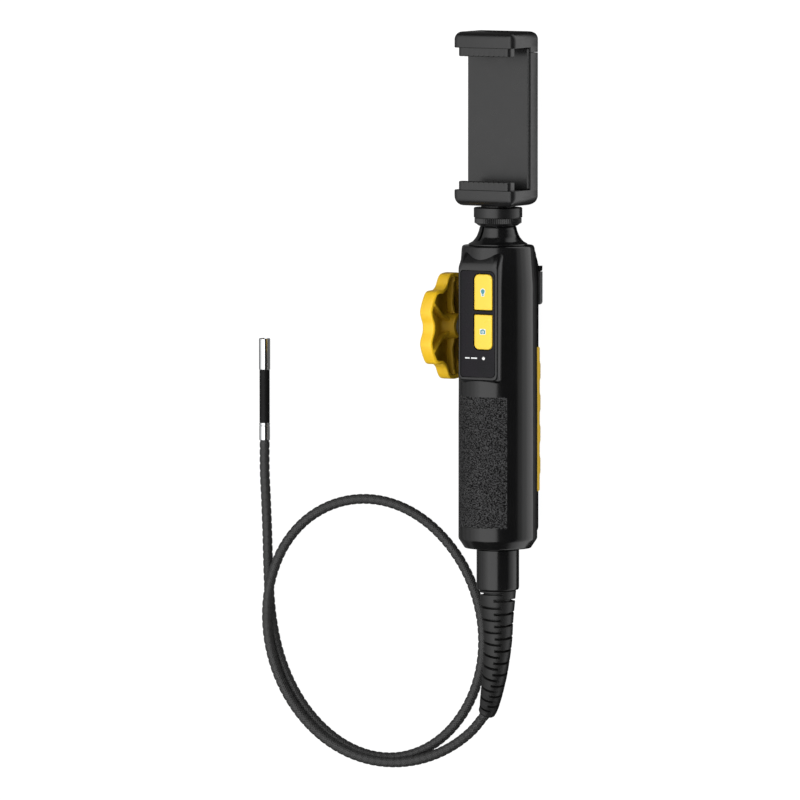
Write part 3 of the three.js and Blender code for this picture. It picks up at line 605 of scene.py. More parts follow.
# ============================================================= strain relief
RELIEF = [[0, -22.6, 0], [0, -30, 0], [-0.5, -40, -1.0], [-0.9, -47.5, -2.0], [-1.9, -54.5, -3.1], [-3.4, -61.5, -4.5], [-5.0, -67.5, -6.0], [-7.7, -75.2, -8.3], [-10.3, -81.8, -10.6], [-12.6, -87.2, -12.4], [-14.45, -90.45, -13.05]]
RELIEF_R = [9.75, 9.1, 8.4, 7.85, 7.45, 7.1, 6.75, 6.4, 6.0, 5.4, 4.5]
rel_path, rel_s = evenly(spline(RELIEF), 0.15)
knots = np.linspace(0, rel_s[-1], len(RELIEF_R))
def relief():
    """tapering sleeve with staggered slots that leave a thin core showing"""
    T, Nn, B = frames(rel_path)
    sides = 48
    th = np.arange(sides) / sides * 2 * math.pi
    # angle measured from the side of the sleeve that faces +X
    rings = []
    L = rel_s[-1]
    for i, s in enumerate(rel_s):
        r0 = float(np.interp(s, knots, RELIEF_R))
        row = []
        pitch = 3.27
        k = (s - 1.9) / pitch
        inside = 0.6 < s < L - 3.0
        kk = round(k)
        off = abs(k - kk) * pitch
        for t in th:
            d = Nn[i] * math.cos(t) + B[i] * math.sin(t)
            side = d[0] * 0.866 - d[2] * 0.5          # left or right of the sleeve
            cut = 0.0
            if inside and off < 0.62:
                want = -1 if kk % 2 == 0 else 1
                a = want * side
                if a > -0.25:
                    w = min(1.0, (a + 0.25) / 0.12)
                    cut = w * (1.0 if off < 0.4 else (0.62 - off) / 0.22)
            r = r0 - cut * min(2.0, r0 - 3.3)
            if s < 0.5:
                r -= 0.4 * (1 - s / 0.5)
            if s > L - 0.8:
                r -= 0.5 * (1 - (L - s) / 0.8)
            row.append(rel_path[i] + d * r)
        rings.append(row)
    # inner bore closes the body on itself
    bore = 2.95
    inner = [[rel_path[i] + (Nn[i] * math.cos(t) + B[i] * math.sin(t)) * bore for t in th] for i in (len(rel_path) - 1, 0)]
    rings = rings + inner + [rings[0]]
    verts, faces = [], []
    for r in rings[:-1]:
        verts += [tuple(p) for p in r]
    nr = len(rings) - 1
    for a in range(nr):
        b = (a + 1) % nr
        for j in range(sides):
            j2 = (j + 1) % sides
            faces.append((a * sides + j, a * sides + j2, b * sides + j2, b * sides + j))
    return obj("bend_protector", verts, faces, MAT["rubber"], angle=42)
rel = relief()
stand(rel, "root", "strain_relief", slot="black_rubber")

# ==================================================================== shells
R_OUT = [(0, 17.4), (0.15, 17.7), (4.6, 20.65), (5.4, 20.9), (70, 20.9), (140, 20.6), (158.4, 19.3), (159.2, 19.22), (160.1, 19.0), (160.6, 18.5)]
R_IN = [(2.4, 15.6), (6.5, 18.6), (70, 18.6), (138, 18.3), (156.2, 17.1), (158.2, 16.6)]
def rad(table, h):
    return float(np.interp(h, [t[0] for t in table], [t[1] for t in table]))
LEATHER_H = (11.5, 81.5)
LEATHER_A = 44.0
def front_shell():
    hs = [0, 0.15, 0.8, 1.6, 2.4, 3.2, 4.0, 4.6, 5.0, 5.4, 6.5, 8.5, 10.5] + list(np.arange(11.0, 82.4, 0.6)) + [83, 85, 88, 92, 98, 104, 110, 117, 124, 131, 140, 146, 152, 156, 158.4, 158.8, 159.2, 159.7, 160.1, 160.4, 160.6]
    angs = [-92.6, -91, -88, -84, -80, -75, -70, -65, -60, -55, -50, -47, -45.2] + list(np.arange(-44.4, 44.5, 1.65)) + [45.2, 47, 50, 55, 60, 65, 70, 75, 80, 84, 88, 91, 92.6]
    hin = [158.2, 156.2, 147, 138, 104, 70, 30, 6.5, 4.5, 2.4]
    verts, faces = [], []
    ncol = len(hs) + len(hin) + 2
    r2 = np.random.RandomState(5)
    for ca, a in enumerate(angs):
        t = math.radians(a)
        col = [(0.0 if False else 7.9, 160.6)] + [(rad(R_OUT, h), h) for h in reversed(hs)] + [(8.4, 0.0), (8.4, 2.4)] + [(rad(R_IN, h), h) for h in reversed(hin)] + [(7.9, 158.2)]
        for r, h in col:
            if LEATHER_H[0] < h < LEATHER_H[1] and -LEATHER_A < a < 38.8 and r > 20:
                r += -0.10 + 0.085 * r2.uniform(-1, 1)
            x, z = r * math.sin(t), r * math.cos(t)
            verts.append((x, h, max(z, -0.85)))
        ncol = len(col)
    nc = len(angs)
    for c in range(nc - 1):
        for k in range(ncol):
            k2 = (k + 1) % ncol
            faces.append((c * ncol + k, c * ncol + k2, (c + 1) * ncol + k2, (c + 1) * ncol + k))
    faces.append(tuple(range(ncol)))
    faces.append(tuple(reversed(range((nc - 1) * ncol, nc * ncol))))
    def fm(f):
        c = f.calc_center_median()
        x, h, z = c.x * 1000 - OX, c.y * 1000 + OH, c.z * 1000 - OZ
        r = math.hypot(x, z)
        a = abs(math.degrees(math.atan2(x, z)))
        return 1 if (r > 19.8 and LEATHER_H[0] + 0.2 < h < LEATHER_H[1] - 0.2 and a < LEATHER_A - 0.3) else 0
    o = obj("handle_front", verts, faces, None, mats=[MAT["shell"], MAT["leather"]], face_mat=fm, angle=40)
    return o
fs = front_shell()
boolean(fs, [block(-10.0, 10.0, 93.0, 147.4, 8, 30), drill('x', 5.2, -26, -12, (117, 0))], angle=40)
stand(fs, "root", "front_shell", slot="shell_plastic")

SP_HW, SP_D = 12.0, 23.7
def rear_shell():
    hs = [0, 0.15, 1.2, 2.4, 3.6, 4.6, 5.4, 6.0, 6.6, 7.4, 8.2, 9.0, 9.5, 9.9, 10.5, 12, 16, 20, 24, 28, 40, 55, 70, 85, 100, 106, 112, 117, 122, 128, 134, 140, 146, 148.4, 149, 149.6, 151, 153, 155, 157, 158.4, 159, 159.2, 159.7, 160.1, 160.4, 160.6]
    angs = [-87.0, -85.4, -83, -79, -73, -67, -61, -55, -50, -45, -41, -38, -36.4, -35.4, -34.6, -33, -31, -29, -27.8, -27.0, -26.3, -25.4, -24, -22, -19, -15, -10, -5, 0]
    angs = angs + [-a for a in reversed(angs[:-1])]
    hin = [158.2, 156.2, 147, 138, 104, 70, 30, 6.5, 4.5, 2.4]
    def spine_d(h):
        return float(np.interp(h, [5.6, 9.0, 10.0, 148.6, 149.6, 159.2], [20.2, 23.45, SP_D, SP_D, 23.45, 19.0]))
    def R(a, h):
        r = rad(R_OUT, h)
        D = spine_d(h)
        t = math.radians(abs(a))
        if 5.6 < h < 159.2:
            ch = 1.1  # rounded long edges
            flat = D / math.cos(t)
            wall = SP_HW / max(math.sin(t), 1e-6)
            cham = (SP_HW + D - ch) / (math.sin(t) + math.cos(t))
            r = max(r, min(flat, wall, cham))
        return r
    verts, faces = [], []
    for a in angs:
        t = math.radians(a)
        col = [(7.9, 160.6)] + [(R(a, h), h) for h in reversed(hs)] + [(8.4, 0.0), (8.4, 2.4)] + [(rad(R_IN, h), h) for h in reversed(hin)] + [(7.9, 158.2)]
        for r, h in col:
            verts.append((r * math.sin(t), h, -1.15 if abs(a) > 86.9 else min(-r * math.cos(t), -1.15 - 0.02 * (87 - abs(a)))))
        ncol = len(col)
    nc = len(angs)
    for c in range(nc - 1):
        for k in range(ncol):
            k2 = (k + 1) % ncol
            faces.append((c * ncol + k, c * ncol + k2, (c + 1) * ncol + k2, (c + 1) * ncol + k))
    faces.append(tuple(range(ncol)))
    faces.append(tuple(reversed(range((nc - 1) * ncol, nc * ncol))))
    return obj("handle_rear", verts, faces, MAT["spine"], angle=32)
rs = rear_shell()
cuts = [block(-13, 13, 28.75, 105.75, -40, -19.95),
        slab("cutter", lambda i: rrect(-4.8, 4.8, 136.4, 140.2, 1.0, 4, i), -30, -14, 0, MAT["shell"]),
        drill('x', 5.2, -26, -12, (117, 0))]
for x, h in [(-8, 12), (8, 12), (-8, 138), (8, 138)]:
    cuts.append(drill('z', 2.6, -30, -20, (x, h), 28))
boolean(rs, cuts, angle=32)
lugs = []
for s in (-1, 1):
    x0, x1 = (-12, -10.95) if s < 0 else (10.95, 12)
    lugs.append(slab("lug", lambda i: rrect(145.9, 148.7, -26.8, -23.5, (0.9, 0.05, 0.05, 0.9), 4, i), x0, x1, 0.15, MAT["shell"], axis="x"))
join("handle_rear", [rs] + lugs)
stand(rs, "root", "rear_shell", slot="shell_plastic")

# ------------------------------------------------------------- finger grip
def grip():
    """soft insert that wraps both long corners of the spine, with four raised finger pads"""
    H = fillet([(28.9, 0.0, 0), (29.3, 1.0, 0.8), (37.5, 1.0, 2.5), (38.9, 1.8, 1.2), (46.1, 1.8, 1.2), (47.5, 1.0, 2.5),
                (54.2, 1.0, 2.5), (55.6, 1.8, 1.2), (62.9, 1.8, 1.2), (64.3, 1.0, 2.5), (70.9, 1.0, 2.5), (72.3, 1.8, 1.2), (79.5, 1.8, 1.2), (80.9, 1.0, 2.5),
                (87.6, 1.0, 2.5), (89.0, 1.8, 1.2), (96.3, 1.8, 1.2), (97.7, 1.0, 2.5), (105.2, 1.0, 0.8), (105.6, 0.0, 0)], 5)
    rings = []
    for h, d in H:
        back = -25.2 - d          # outer face at this height: -26.2 between pads, -27 on a pad
        r = 3.3
        ring = [(-12.1, h, -20.0)]
        for k in range(10):
            t = math.pi / 2 * k / 9
            ring.append((-12.1 + r - r * math.cos(t), h, back + r - r * math.sin(t)))
        for k in range(10):
            t = math.pi / 2 * (1 - k / 9)
            ring.append((12.1 - r + r * math.cos(t), h, back + r - r * math.sin(t)))
        ring.append((12.1, h, -20.0))
        rings.append(ring)
    v, f = rings_mesh(rings)
    return obj("grip_insert", v, f, MAT["grip"], angle=40)
stand(grip(), "root", "finger_grip", slot="yellow_rubber")

# ------------------------------------------------------------ control panel
def frame_ring():
    """raised frame: outer wall that ramps back to the round of the body at its upper end, soft top rim, inner wall and ledge"""
    def outer(i, up=0.0, dn=0.0):
        return rrect(-12 + i, 12 - i, 90 + i - dn, 151.5 - i + up, (2.6, 3.2, 3.2, 2.6), 6, 0)
    def innr(g):
        return rrect(-10.5 + g, 10.5 - g, 91.7 + g, 148.3 - g, (1.6, 2.6, 3.4, 1.6), 6, 0)
    rows = []
    for i, z, up, dn in [(0.0, 15.2, 7.6, 2.4), (0.0, 18.2, 5.0, 1.6), (0.0, 20.9, 0.8, 0.3), (0.10, 21.35, 0.1, 0), (0.33, 21.68, -0.35, 0), (0.62, 21.84, -0.5, 0), (0.95, 21.9, -0.6, 0)]:
        rows.append([(a, b, z) for a, b in outer(i, up, dn)])
    for g, z in [(-0.25, 21.9), (-0.08, 21.85), (0.0, 21.7), (0.0, 19.9), (0.8, 19.9), (0.8, 15.2)]:
        rows.append([(a, b, z) for a, b in innr(g)])
    n = len(rows[0])
    verts = [p for r in rows for p in r]
    faces = []
    for a in range(len(rows)):
        b = (a + 1) % len(rows)
        for j in range(n):
            j2 = (j + 1) % n
            faces.append((a * n + j, a * n + j2, b * n + j2, b * n + j))
    o = obj("panel_frame", verts, faces, MAT["shell"], angle=40)
    # trim the underside to the round of the shell
    cutter = revolve("cutter", [(0, 80), (20.95, 80), (20.95, 100), (20.7, 140), (20.0, 152), (19.3, 165), (0, 165)], MAT["shell"], 128)
    return boolean(o, [cutter], angle=40)
bz = frame_ring()
stand(bz, "root", "panel_bezel", slot="shell_plastic")

BTN = {"light_button": (127.5, 146.4), "photo_button": (106.6, 125.0)}
BX = (-2.15, 8.65)
plate = slab("control_plate", lambda i: rrect(-10.25, 10.25, 91.95, 148.05, (1.4, 2.4, 3.2, 1.4), 6, i), 20.2, 21.7, 0.12, MAT["gloss"], angle=40)
holes = [slab("cutter", lambda i: rrect(BX[0] - 0.5, BX[1] + 0.5, 126.95, 146.9, (0.8, 0.8, 3.3, 3.3), 8, i), 19, 23, 0, MAT["gloss"]),
         slab("cutter", lambda i: rrect(BX[0] - 0.5, BX[1] + 0.5, 106.1, 125.55, (3.3, 3.3, 0.8, 0.8), 8, i), 19, 23, 0, MAT["gloss"]),
         drill('z', 1.05, 19, 23, (3.5, 101.9), 24)]
boolean(plate, holes, angle=40)
stand(plate, "root", "panel_cover", slot="panel_gloss")

def key(name, h0, h1, radii):
    """key top: soft crown, rounded rim and a straight skirt"""
    x0, x1 = BX
    cx, ch = (x0 + x1) / 2, (h0 + h1) / 2
    rows = []
    def ring(i, z):
        return [(a, b, z) for a, b in rrect(x0 + i, x1 - i, h0 + i, h1 - i, [max(0.3, r - i) for r in radii], 8, 0)]
    for i, z in [(0.0, 18.5), (0.0, 21.3), (0.06, 21.6), (0.2, 21.82), (0.45, 21.97), (0.8, 22.05), (1.6, 22.12), (2.8, 22.17)]:
        rows.append(ring(i, z))
    v, f = rings_mesh(rows)
    return obj(name, v, f, MAT["button"], angle=50)
kl = key("key_light", *BTN["light_button"], (0.7, 0.7, 2.8, 2.8))
stand(kl, "light_button", "light_button", slot="button_yellow")
kp = key("key_photo", *BTN["photo_button"], (2.8, 2.8, 0.7, 0.7))
stand(kp, "photo_button", "photo_button", slot="button_yellow")

# printed pictograms, generic: a lamp and a camera
def printed(name, outline, z, mat, body, slot, t=0.03):
    o = slab(name, lambda i: outline, z - 0.02, z + t, 0, mat, angle=30)
    stand(o, body, slot=slot)
    return o
def circle(cx, cy, r, n=28, a0=0, a1=360):
    return [(cx + r * math.cos(math.radians(a0 + (a1 - a0) * k / n)), cy + r * math.sin(math.radians(a0 + (a1 - a0) * k / n))) for k in range(n)]
LX, LH = 3.3, 137.0
bulb = circle(LX, LH + 0.45, 1.15, 26, -50, 230)
bulb = [(LX + 0.55, LH - 1.0)] + bulb + [(LX - 0.55, LH - 1.0)]
halo = circle(LX, LH + 0.45, 1.55, 26, -52, 232)
halo = [(LX + 0.95, LH - 2.2)] + halo + [(LX - 0.95, LH - 2.2)]
printed("mark_lamp_edge", halo, 22.17, MAT["white"], "light_button", "button_yellow", 0.02)
printed("mark_lamp", bulb, 22.19, MAT["teal"], "light_button", "button_yellow", 0.03)
printed("mark_lamp_cap", rrect(LX - 0.55, LX + 0.55, LH - 1.85, LH - 1.2, 0.15, 3), 22.19, MAT["teal"], "light_button", "button_yellow", 0.03)
CX, CH = 3.3, 116.0
printed("mark_camera_edge", rrect(CX - 1.75, CX + 1.75, CH - 1.45, CH + 1.6, 0.5, 5), 22.17, MAT["white"], "photo_button", "button_yellow", 0.02)
printed("mark_camera", rrect(CX - 1.45, CX + 1.45, CH - 1.15, CH + 0.95, 0.4, 5), 22.19, MAT["teal"], "photo_button", "button_yellow", 0.03)
printed("mark_camera_top", rrect(CX - 0.6, CX + 0.6, CH + 0.9, CH + 1.35, 0.12, 3), 22.19, MAT["teal"], "photo_button", "button_yellow", 0.03)
printed("mark_camera_lens", circle(CX, CH - 0.1, 0.72), 22.22, MAT["white"], "photo_button", "button_yellow", 0.03)
printed("mark_camera_iris", circle(CX, CH - 0.1, 0.38), 22.25, MAT["teal"], "photo_button", "button_yellow", 0.03)
# the word beside the status light is replaced by two plain dashes
printed("mark_dash_a", rrect(-7.7, -4.9, 101.55, 102.25, 0.3, 4), 21.7, MAT["white"], "root", "panel_gloss", 0.03)
printed("mark_dash_b", rrect(-4.1, -0.4, 101.55, 102.25, 0.3, 4), 21.7, MAT["white"], "root", "panel_gloss", 0.03)

led = slab("status_lens", lambda i: [(3.5 + (0.9 - i) * math.cos(2 * math.pi * k / 24), 101.9 + (0.9 - i) * math.sin(2 * math.pi * k / 24)) for k in range(24)], 14.2, 21.95, 0.35, MAT["diffuser"], n=5, angle=60, lo_bev=0.1)
stand(led, "root", "status_light_pipe", slot="light_diffuser")

# ------------------------------------------------------------ port cover
def cover():
    rows = []
    def ring(i, z):
        return [(a, b, z) for a, b in rrect(-12.4 + i, 12.4 - i, 128.0 + i, 148.68 - i, [max(0.2, 1.7 - i)] * 4, 6, 0)]
    for i, z in [(0.15, -24.02), (0.0, -24.2), (0.0, -25.9), (0.1, -26.3), (0.35, -26.62), (0.75, -26.78), (1.6, -26.8)]:
        rows.append(ring(i, z))
    v, f = rings_mesh(rows)
    o = obj("port_flap", v, f, MAT["rubber"], angle=50)
    c1 = slab("cutter", lambda i: rrect(-14, -10.65, 145.6, 150, 0.3, 3, i), -30, -20, 0, MAT["rubber"])
    c2 = slab("cutter", lambda i: rrect(10.65, 14, 145.6, 150, 0.3, 3, i), -30, -20, 0, MAT["rubber"])
    c3 = drill('x', 0.95, -14, 14, (147.3, -25.4), 20)
    # the hinge end is a half round about the pin
    return boolean(o, [c1, c2, c3], angle=50)
MAT["flap"] = plastic("flap_rubber", (0.09, 0.09, 0.092), 0.5, 1700.0, 0.2, 0.12)
cv = cover()
cv.data.materials[0] = MAT["flap"]
stand(cv, "port_cover", "port_cover", slot="black_rubber")

# ==================================================================== knob
KH = 117.0
def knob():
    n = 216
    def star(i, rv=1.0):
        out = []
        for k in range(n):
            t = 2 * math.pi * k / n
            deg = math.degrees(t) % 60.0
            u = abs(((deg + 30) % 60) - 30)
            # lobe centres at multiples of 60 degrees from +h
            kk = 0.0 if u < 9.5 else 1.0 if u > 28 else 0.5 - 0.5 * math.cos((u - 9.5) / 18.5 * math.pi)
            r = 28.3 + (23.8 - 28.3) * kk - 0.12 * (1 - kk) * (1 - math.cos(math.radians(u) * 2))
            out.append(((r - i) * math.cos(t), (r - i) * math.sin(t)))
        return out
    def circ(r):
        return [(r * math.cos(2 * math.pi * k / n), r * math.sin(2 * math.pi * k / n)) for k in range(n)]
    def blend(a, b, w):
        return [(p[0] * (1 - w) + q[0] * w, p[1] * (1 - w) + q[1] * w) for p, q in zip(a, b)]
    rows = []
    add = lambda ring, x: rows.append([(x, KH + a, b) for a, b in ring])
    add(circ(4.7), -30.6)
    add(circ(4.7), -32.6)
    add(circ(4.85), -32.8)
    add(circ(5.2), -32.9)
    add(circ(9.0), -32.9)
    add(circ(9.6), -32.75)
    add(circ(10.4), -32.45)
    add(circ(11.0), -32.4)
    add(blend(circ(17.0), star(6.0), 0.5), -32.45)
    add(star(4.4), -32.75)
    add(star(3.4), -32.88)
    add(star(2.0), -32.9)
    add(star(1.1), -32.82)
    add(star(0.5), -32.55)
    add(star(0.15), -32.15)
    add(star(0.0), -31.6)
    add(star(0.0), -27.2)
    add(star(0.0), -26.5)
    add(star(0.12), -26.05)
    add(star(0.4), -25.78)
    add(star(0.8), -25.7)
    add(star(1.7), -25.7)
    add(star(2.1), -25.8)
    add(star(2.35), -26.1)
    add(star(2.6), -29.5)
    add(star(2.9), -30.2)
    add(star(3.6), -30.55)
    add(star(4.6), -30.65)
    add(circ(9.0), -30.7)
    add(circ(7.9), -30.6)
    add(circ(7.3), -30.2)
    add(circ(7.0), -29.6)
    add(circ(6.3), -24.2)
    add(circ(6.2), -23.6)
    add(circ(6.0), -23.35)
    add(circ(5.7), -23.3)
    add(circ(3.6), -23.3)
    add(circ(3.3), -23.6)
    add(circ(3.3), -29.8)
    add(circ(1.4), -29.85)
    add(circ(1.4), -30.55)
    verts = [p for r in rows for p in r]
    faces = []
    m = len(rows)
    for a in range(m):
        b = (a + 1) % m
        for j in range(n):
            j2 = (j + 1) % n
            faces.append((a * n + j, a * n + j2, b * n + j2, b * n + j))
    o = obj("steering_wheel", verts, faces, MAT["yellow"], angle=40)
    ribs = []
    for k in range(6):
        a = math.radians(60 * k)
        c, s = math.cos(a), math.sin(a)
        # rib outline in radius and x: top edge slopes from the rim down to the hub
        prof = fillet([(5.9, -31.2, 0), (26.8, -31.2, 0), (26.8, -26.0, 0.0), (23.5, -26.6, 2.0), (12.0, -27.6, 3.0), (5.9, -26.0, 0)], 3, True)
        rows2 = []
        for w, e in [(-0.8, 0.15), (-0.68, 0.0), (0.68, 0.0), (0.8, 0.15)]:
            rows2.append([((x - (e if x > -31 else 0)), KH + r * c - w * s, r * s + w * c) for r, x in prof])
        v, f = rings_mesh(rows2)
        ribs.append(obj("rib", v, f, MAT["yellow"], angle=40))
    return boolean(o, ribs, "UNION", angle=40)
kn = knob()
def dish_painted_shade_faces(o):
    """the inside of the dish gets a darker yellow: painted shade for the shade that falls inside the dish, on the same
    yellow plastic as the rim
    """
    me = o.data
    me.materials.append(MAT["dish"])
    idx = len(me.materials) - 1
    mw = o.matrix_world
    cy = P(0, KH, 0)[1]
    cz = P(0, 0, 0)[2]
    xmin = P(-30.8, 0, 0)[0]
    for p in me.polygons:
        c, n = mw @ p.center, (mw.to_3x3() @ p.normal).normalized()
        ry, rz = c.y - cy, c.z - cz
        r = math.hypot(ry, rz)
        inward = (n.y * ry + n.z * rz) / max(r, 1e-6)
        if c.x > xmin and n.x > -0.5 and (r < 0.0225 or (inward < -0.3 and r > 0.004)):
            p.material_index = idx
dish_painted_shade_faces(kn)
stand(kn, "knob", "knob", slot="yellow_plastic")
kc = slab("wheel_cap", lambda i: [((4.45 - i) * math.cos(2 * math.pi * k / 64) + KH, (4.45 - i) * math.sin(2 * math.pi * k / 64)) for k in range(64)], -32.75, -31.9, 0.0, MAT["yellow"], axis="x", lo_bev=0.25, angle=40)
stand(kc, "knob", "knob_cap", slot="yellow_plastic")
bush = drill('x', 5.0, -22.6, -17.6, (KH, 0), 48)
bush.name = "shaft_boss"
boolean(bush, [drill('x', 3.3, -25, -12, (KH, 0), 48)], angle=40)
bush.data.materials.clear(); bush.data.materials.append(MAT["dark"])
bush.name = "shaft_boss"
stand(bush, "root", "shaft_bush", slot="brass")

# ==================================================================== neck
nk = revolve("neck_flare", [(3.5, 155.6, 0.2), (11, 155.6, 0.2), (11, 157.9, 0.2), (7.6, 157.9, 0.3), (7.6, 160.75, 0.3), (15.6, 160.75, 0.2), (15.6, 161.5, 0.35), (13.4, 162.7, 3.0), (11.4, 165.2, 6.0), (10.2, 168.2, 5.0), (9.7, 170.4, 0.0), (9.4, 170.7, 0.2), (3.5, 170.7, 0.2)], MAT["shell"], 96, angle=35)
slots = []
for k in range(3):
    a = math.radians(-24 + 120 * k)
    s = slab("cutter", lambda i: rrect(8.0, 17.0, -0.95, 0.95, 0.5, 4, i), 163.4, 172.0, 0, MAT["shell"])
    M4 = Matrix.Translation(Vector(P(0, 0, 0)))
    me = s.data
    for v in me.vertices:
        u, w, hh = v.co.x * 1000 - OX, v.co.y * 1000 + OH, v.co.z * 1000 - OZ
        zz, xx = u * math.cos(a) - w * math.sin(a), u * math.sin(a) + w * math.cos(a)
        v.co = P(xx, hh, zz)
    me.flip_normals()
    bm = bmesh.new(); bm.from_mesh(me); bmesh.ops.recalc_face_normals(bm, faces=bm.faces); bm.to_mesh(me); bm.free()
    slots.append(s)
boolean(nk, slots, angle=35)
stand(nk, "root", "neck_mount", slot="shell_plastic")

def knurled():
    """lock ring: plain upper band, knurled lower band and a chamfered foot"""
    seg = 432
    rows = []
    def ring(r, h, k=0.0):
        out = []
        for i in range(seg):
            t = 2 * math.pi * i / seg
            tooth = abs(((i % 6) / 6.0) * 2 - 1)
            out.append(((r - k * tooth) * math.sin(t), h, (r - k * tooth) * math.cos(t)))
        return out
    prof = [(3.5, 171.0, 0), (9.9, 171.0, 0), (10.3, 171.1, 0), (11.6, 172.1, 0), (12.1, 172.35, 0.0), (12.5, 172.6, 0.38), (12.5, 175.0, 0.38), (12.1, 175.2, 0.0), (12.1, 175.35, 0), (12.7, 175.45, 0), (12.85, 175.65, 0), (12.85, 180.2, 0), (12.75, 180.5, 0), (12.4, 180.7, 0), (3.5, 180.7, 0)]
    rows = [ring(*p) for p in prof]
    verts = [p for r in rows for p in r]
    faces = []
    m = len(rows)
    for a in range(m):
        b = (a + 1) % m
        for j in range(seg):
            j2 = (j + 1) % seg
            faces.append((a * seg + j, a * seg + j2, b * seg + j2, b * seg + j))
    return obj("knurled_ring", verts, faces, MAT["clamp"], angle=30)
stand(knurled(), "lock_ring", "lock_ring", slot="clamp_plastic")

# ============================================================= phone clamp
CB, CL, AT, HW = 181.9, 92.1, 8.5, 18.5
def arm(name, h0, h1, r0, r1, front, rear):
    """one clamp arm: rounded in plan, with a wide soft rim on its outer face"""
    return slab(name, lambda i: rrect(-11.0, 16.6, -HW, HW, (rear, front, front, rear), 9, i), h0, h1, r1, MAT["clamp"], axis="y", n=8, lo_bev=r0)
def spine(h0, h1):
    return slab("cutter", lambda i: rrect(-10.995, -2.0, -HW + 0.005, HW - 0.005, (1.4, 0.5, 0.5, 1.4), 7, i), h0, h1, 0, MAT["clamp"], axis="y")
low = arm("clamp_lower_body", CB, CB + AT, 5.2, 0.45, 3.4, 1.4)
boolean(low, [spine(CB + 4.2, CB + 80.8)], "UNION", angle=32)
boolean(low, [block(-4.2, 4.2, CB + 14, CB + 90, -9.6, 0), drill('y', 5.7, CB - 1, CB + 7.8, (0, 0), 40), drill('y', 1.8, CB + 12, CB + 90, (-6.5, -11), 24), drill('y', 1.8, CB + 12, CB + 90, (-6.5, 11), 24)], angle=32)
stand(low, "clamp", "clamp_frame", slot="clamp_plastic")
top = arm("clamp_upper_body", CB + CL - AT, CB + CL, 0.45, 4.2, 3.4, 1.4)
boolean(top, [spine(CB + 81.1, CB + CL - 3.6)], "UNION", angle=32)
boolean(top, [block(-3.6, 3.6, CB + 50, CB + 83, -8.8, -3.0, 0.2)], "UNION", angle=32)
boolean(top, [drill('y', 1.8, CB + 70, CB + 86.5, (-6.5, -11), 24), drill('y', 1.8, CB + 70, CB + 86.5, (-6.5, 11), 24)], angle=32)
stand(top, "jaw", "clamp_upper_jaw", slot="clamp_plastic")
bp = slab("clamp_plate", lambda i: rrect(-18.45, 17.75, CB + AT + 0.3, CB + CL - AT - 0.3, 0.6, 4, i), -1.7, 0.0, 0.35, MAT["clamp"], lo_bev=0.1, angle=10)
stand(bp, "clamp", "clamp_back_plate", slot="clamp_plastic")

def pad(name, h0, h1, body, node):
    """jaw pad: ten shallow teeth on the gripping edge, corners rounded in plan"""
    s = 1 if h1 > h0 else -1
    x0, x1, z0, z1, r = -15.75, 15.75, 10.2, 15.85, 2.3
    nt = 10
    p = (x1 - x0 - 1.0) / nt
    def top_h(x):
        u = ((x - x0 - 0.5) / p) % 1.0
        d = min(u, 1 - u)
        return h1 - s * 0.45 * max(0.0, 1 - d / 0.16) if x0 + 0.4 < x < x1 - 0.4 else h1
    plan = fillet([(x0, z0, 0.3), (x1, z0, 0.3), (x1, z1, r), (x0, z1, r)], 7, True)
    # refine the outline so that the teeth have points to follow
    fine = []
    for a, b in zip(plan, plan[1:] + plan[:1]):
        n = max(1, int(math.hypot(b[0] - a[0], b[1] - a[1]) / 0.26))
        fine += [(a[0] + (b[0] - a[0]) * k / n, a[1] + (b[1] - a[1]) * k / n) for k in range(n)]
    rows = [[(x, h0, z) for x, z in fine]]
    for ins, dh in [(0.0, 0.55), (0.05, 0.3), (0.2, 0.1), (0.4, 0.0), (1.2, 0.0)]:
        ring = []
        for x, z in fine:
            cx = max(x0 + r, min(x1 - r, x))
            cz = max(z0 + r, min(z1 - r, z))
            l = math.hypot(x - cx, z - cz) or 1.0
            xx, zz = x - (x - cx) / l * ins, z - (z - cz) / l * ins
            ring.append((xx, top_h(x) - s * dh, zz))
        rows.append(ring)
    # the gripping face runs straight through from front to back
    v, f = rings_mesh(rows, True, True, False)
    base = len(v) - len(fine)
    n = len(fine)
    order = sorted(range(n), key=lambda k: fine[k][0])
    f.append(tuple(range(base, base + n)))
    return stand(obj(name, v, f, MAT["clamp"], angle=35), body, node, slot="black_rubber")
pad("pad_lower", CB + AT + 0.02, CB + AT + 4.5, "clamp", "clamp_lower_pad")
pad("pad_upper", CB + CL - AT - 0.02, CB + CL - AT - 4.5, "jaw", "clamp_upper_pad")

# ================================================================== collar
cl = revolve("foot_collar", [(5.2, -22.3, 0.2), (11.0, -22.3, 0.6), (11.3, -21.0, 0.3), (11.3, -1.0, 0.3), (8.2, -1.0, 0.0), (8.2, 2.7, 0.1), (10.2, 2.7, 0.2), (10.2, 4.6, 0.2), (5.2, 4.6, 0.2)], MAT["shell"], 96, angle=35)
stand(cl, "root", "bottom_collar", slot="shell_plastic")

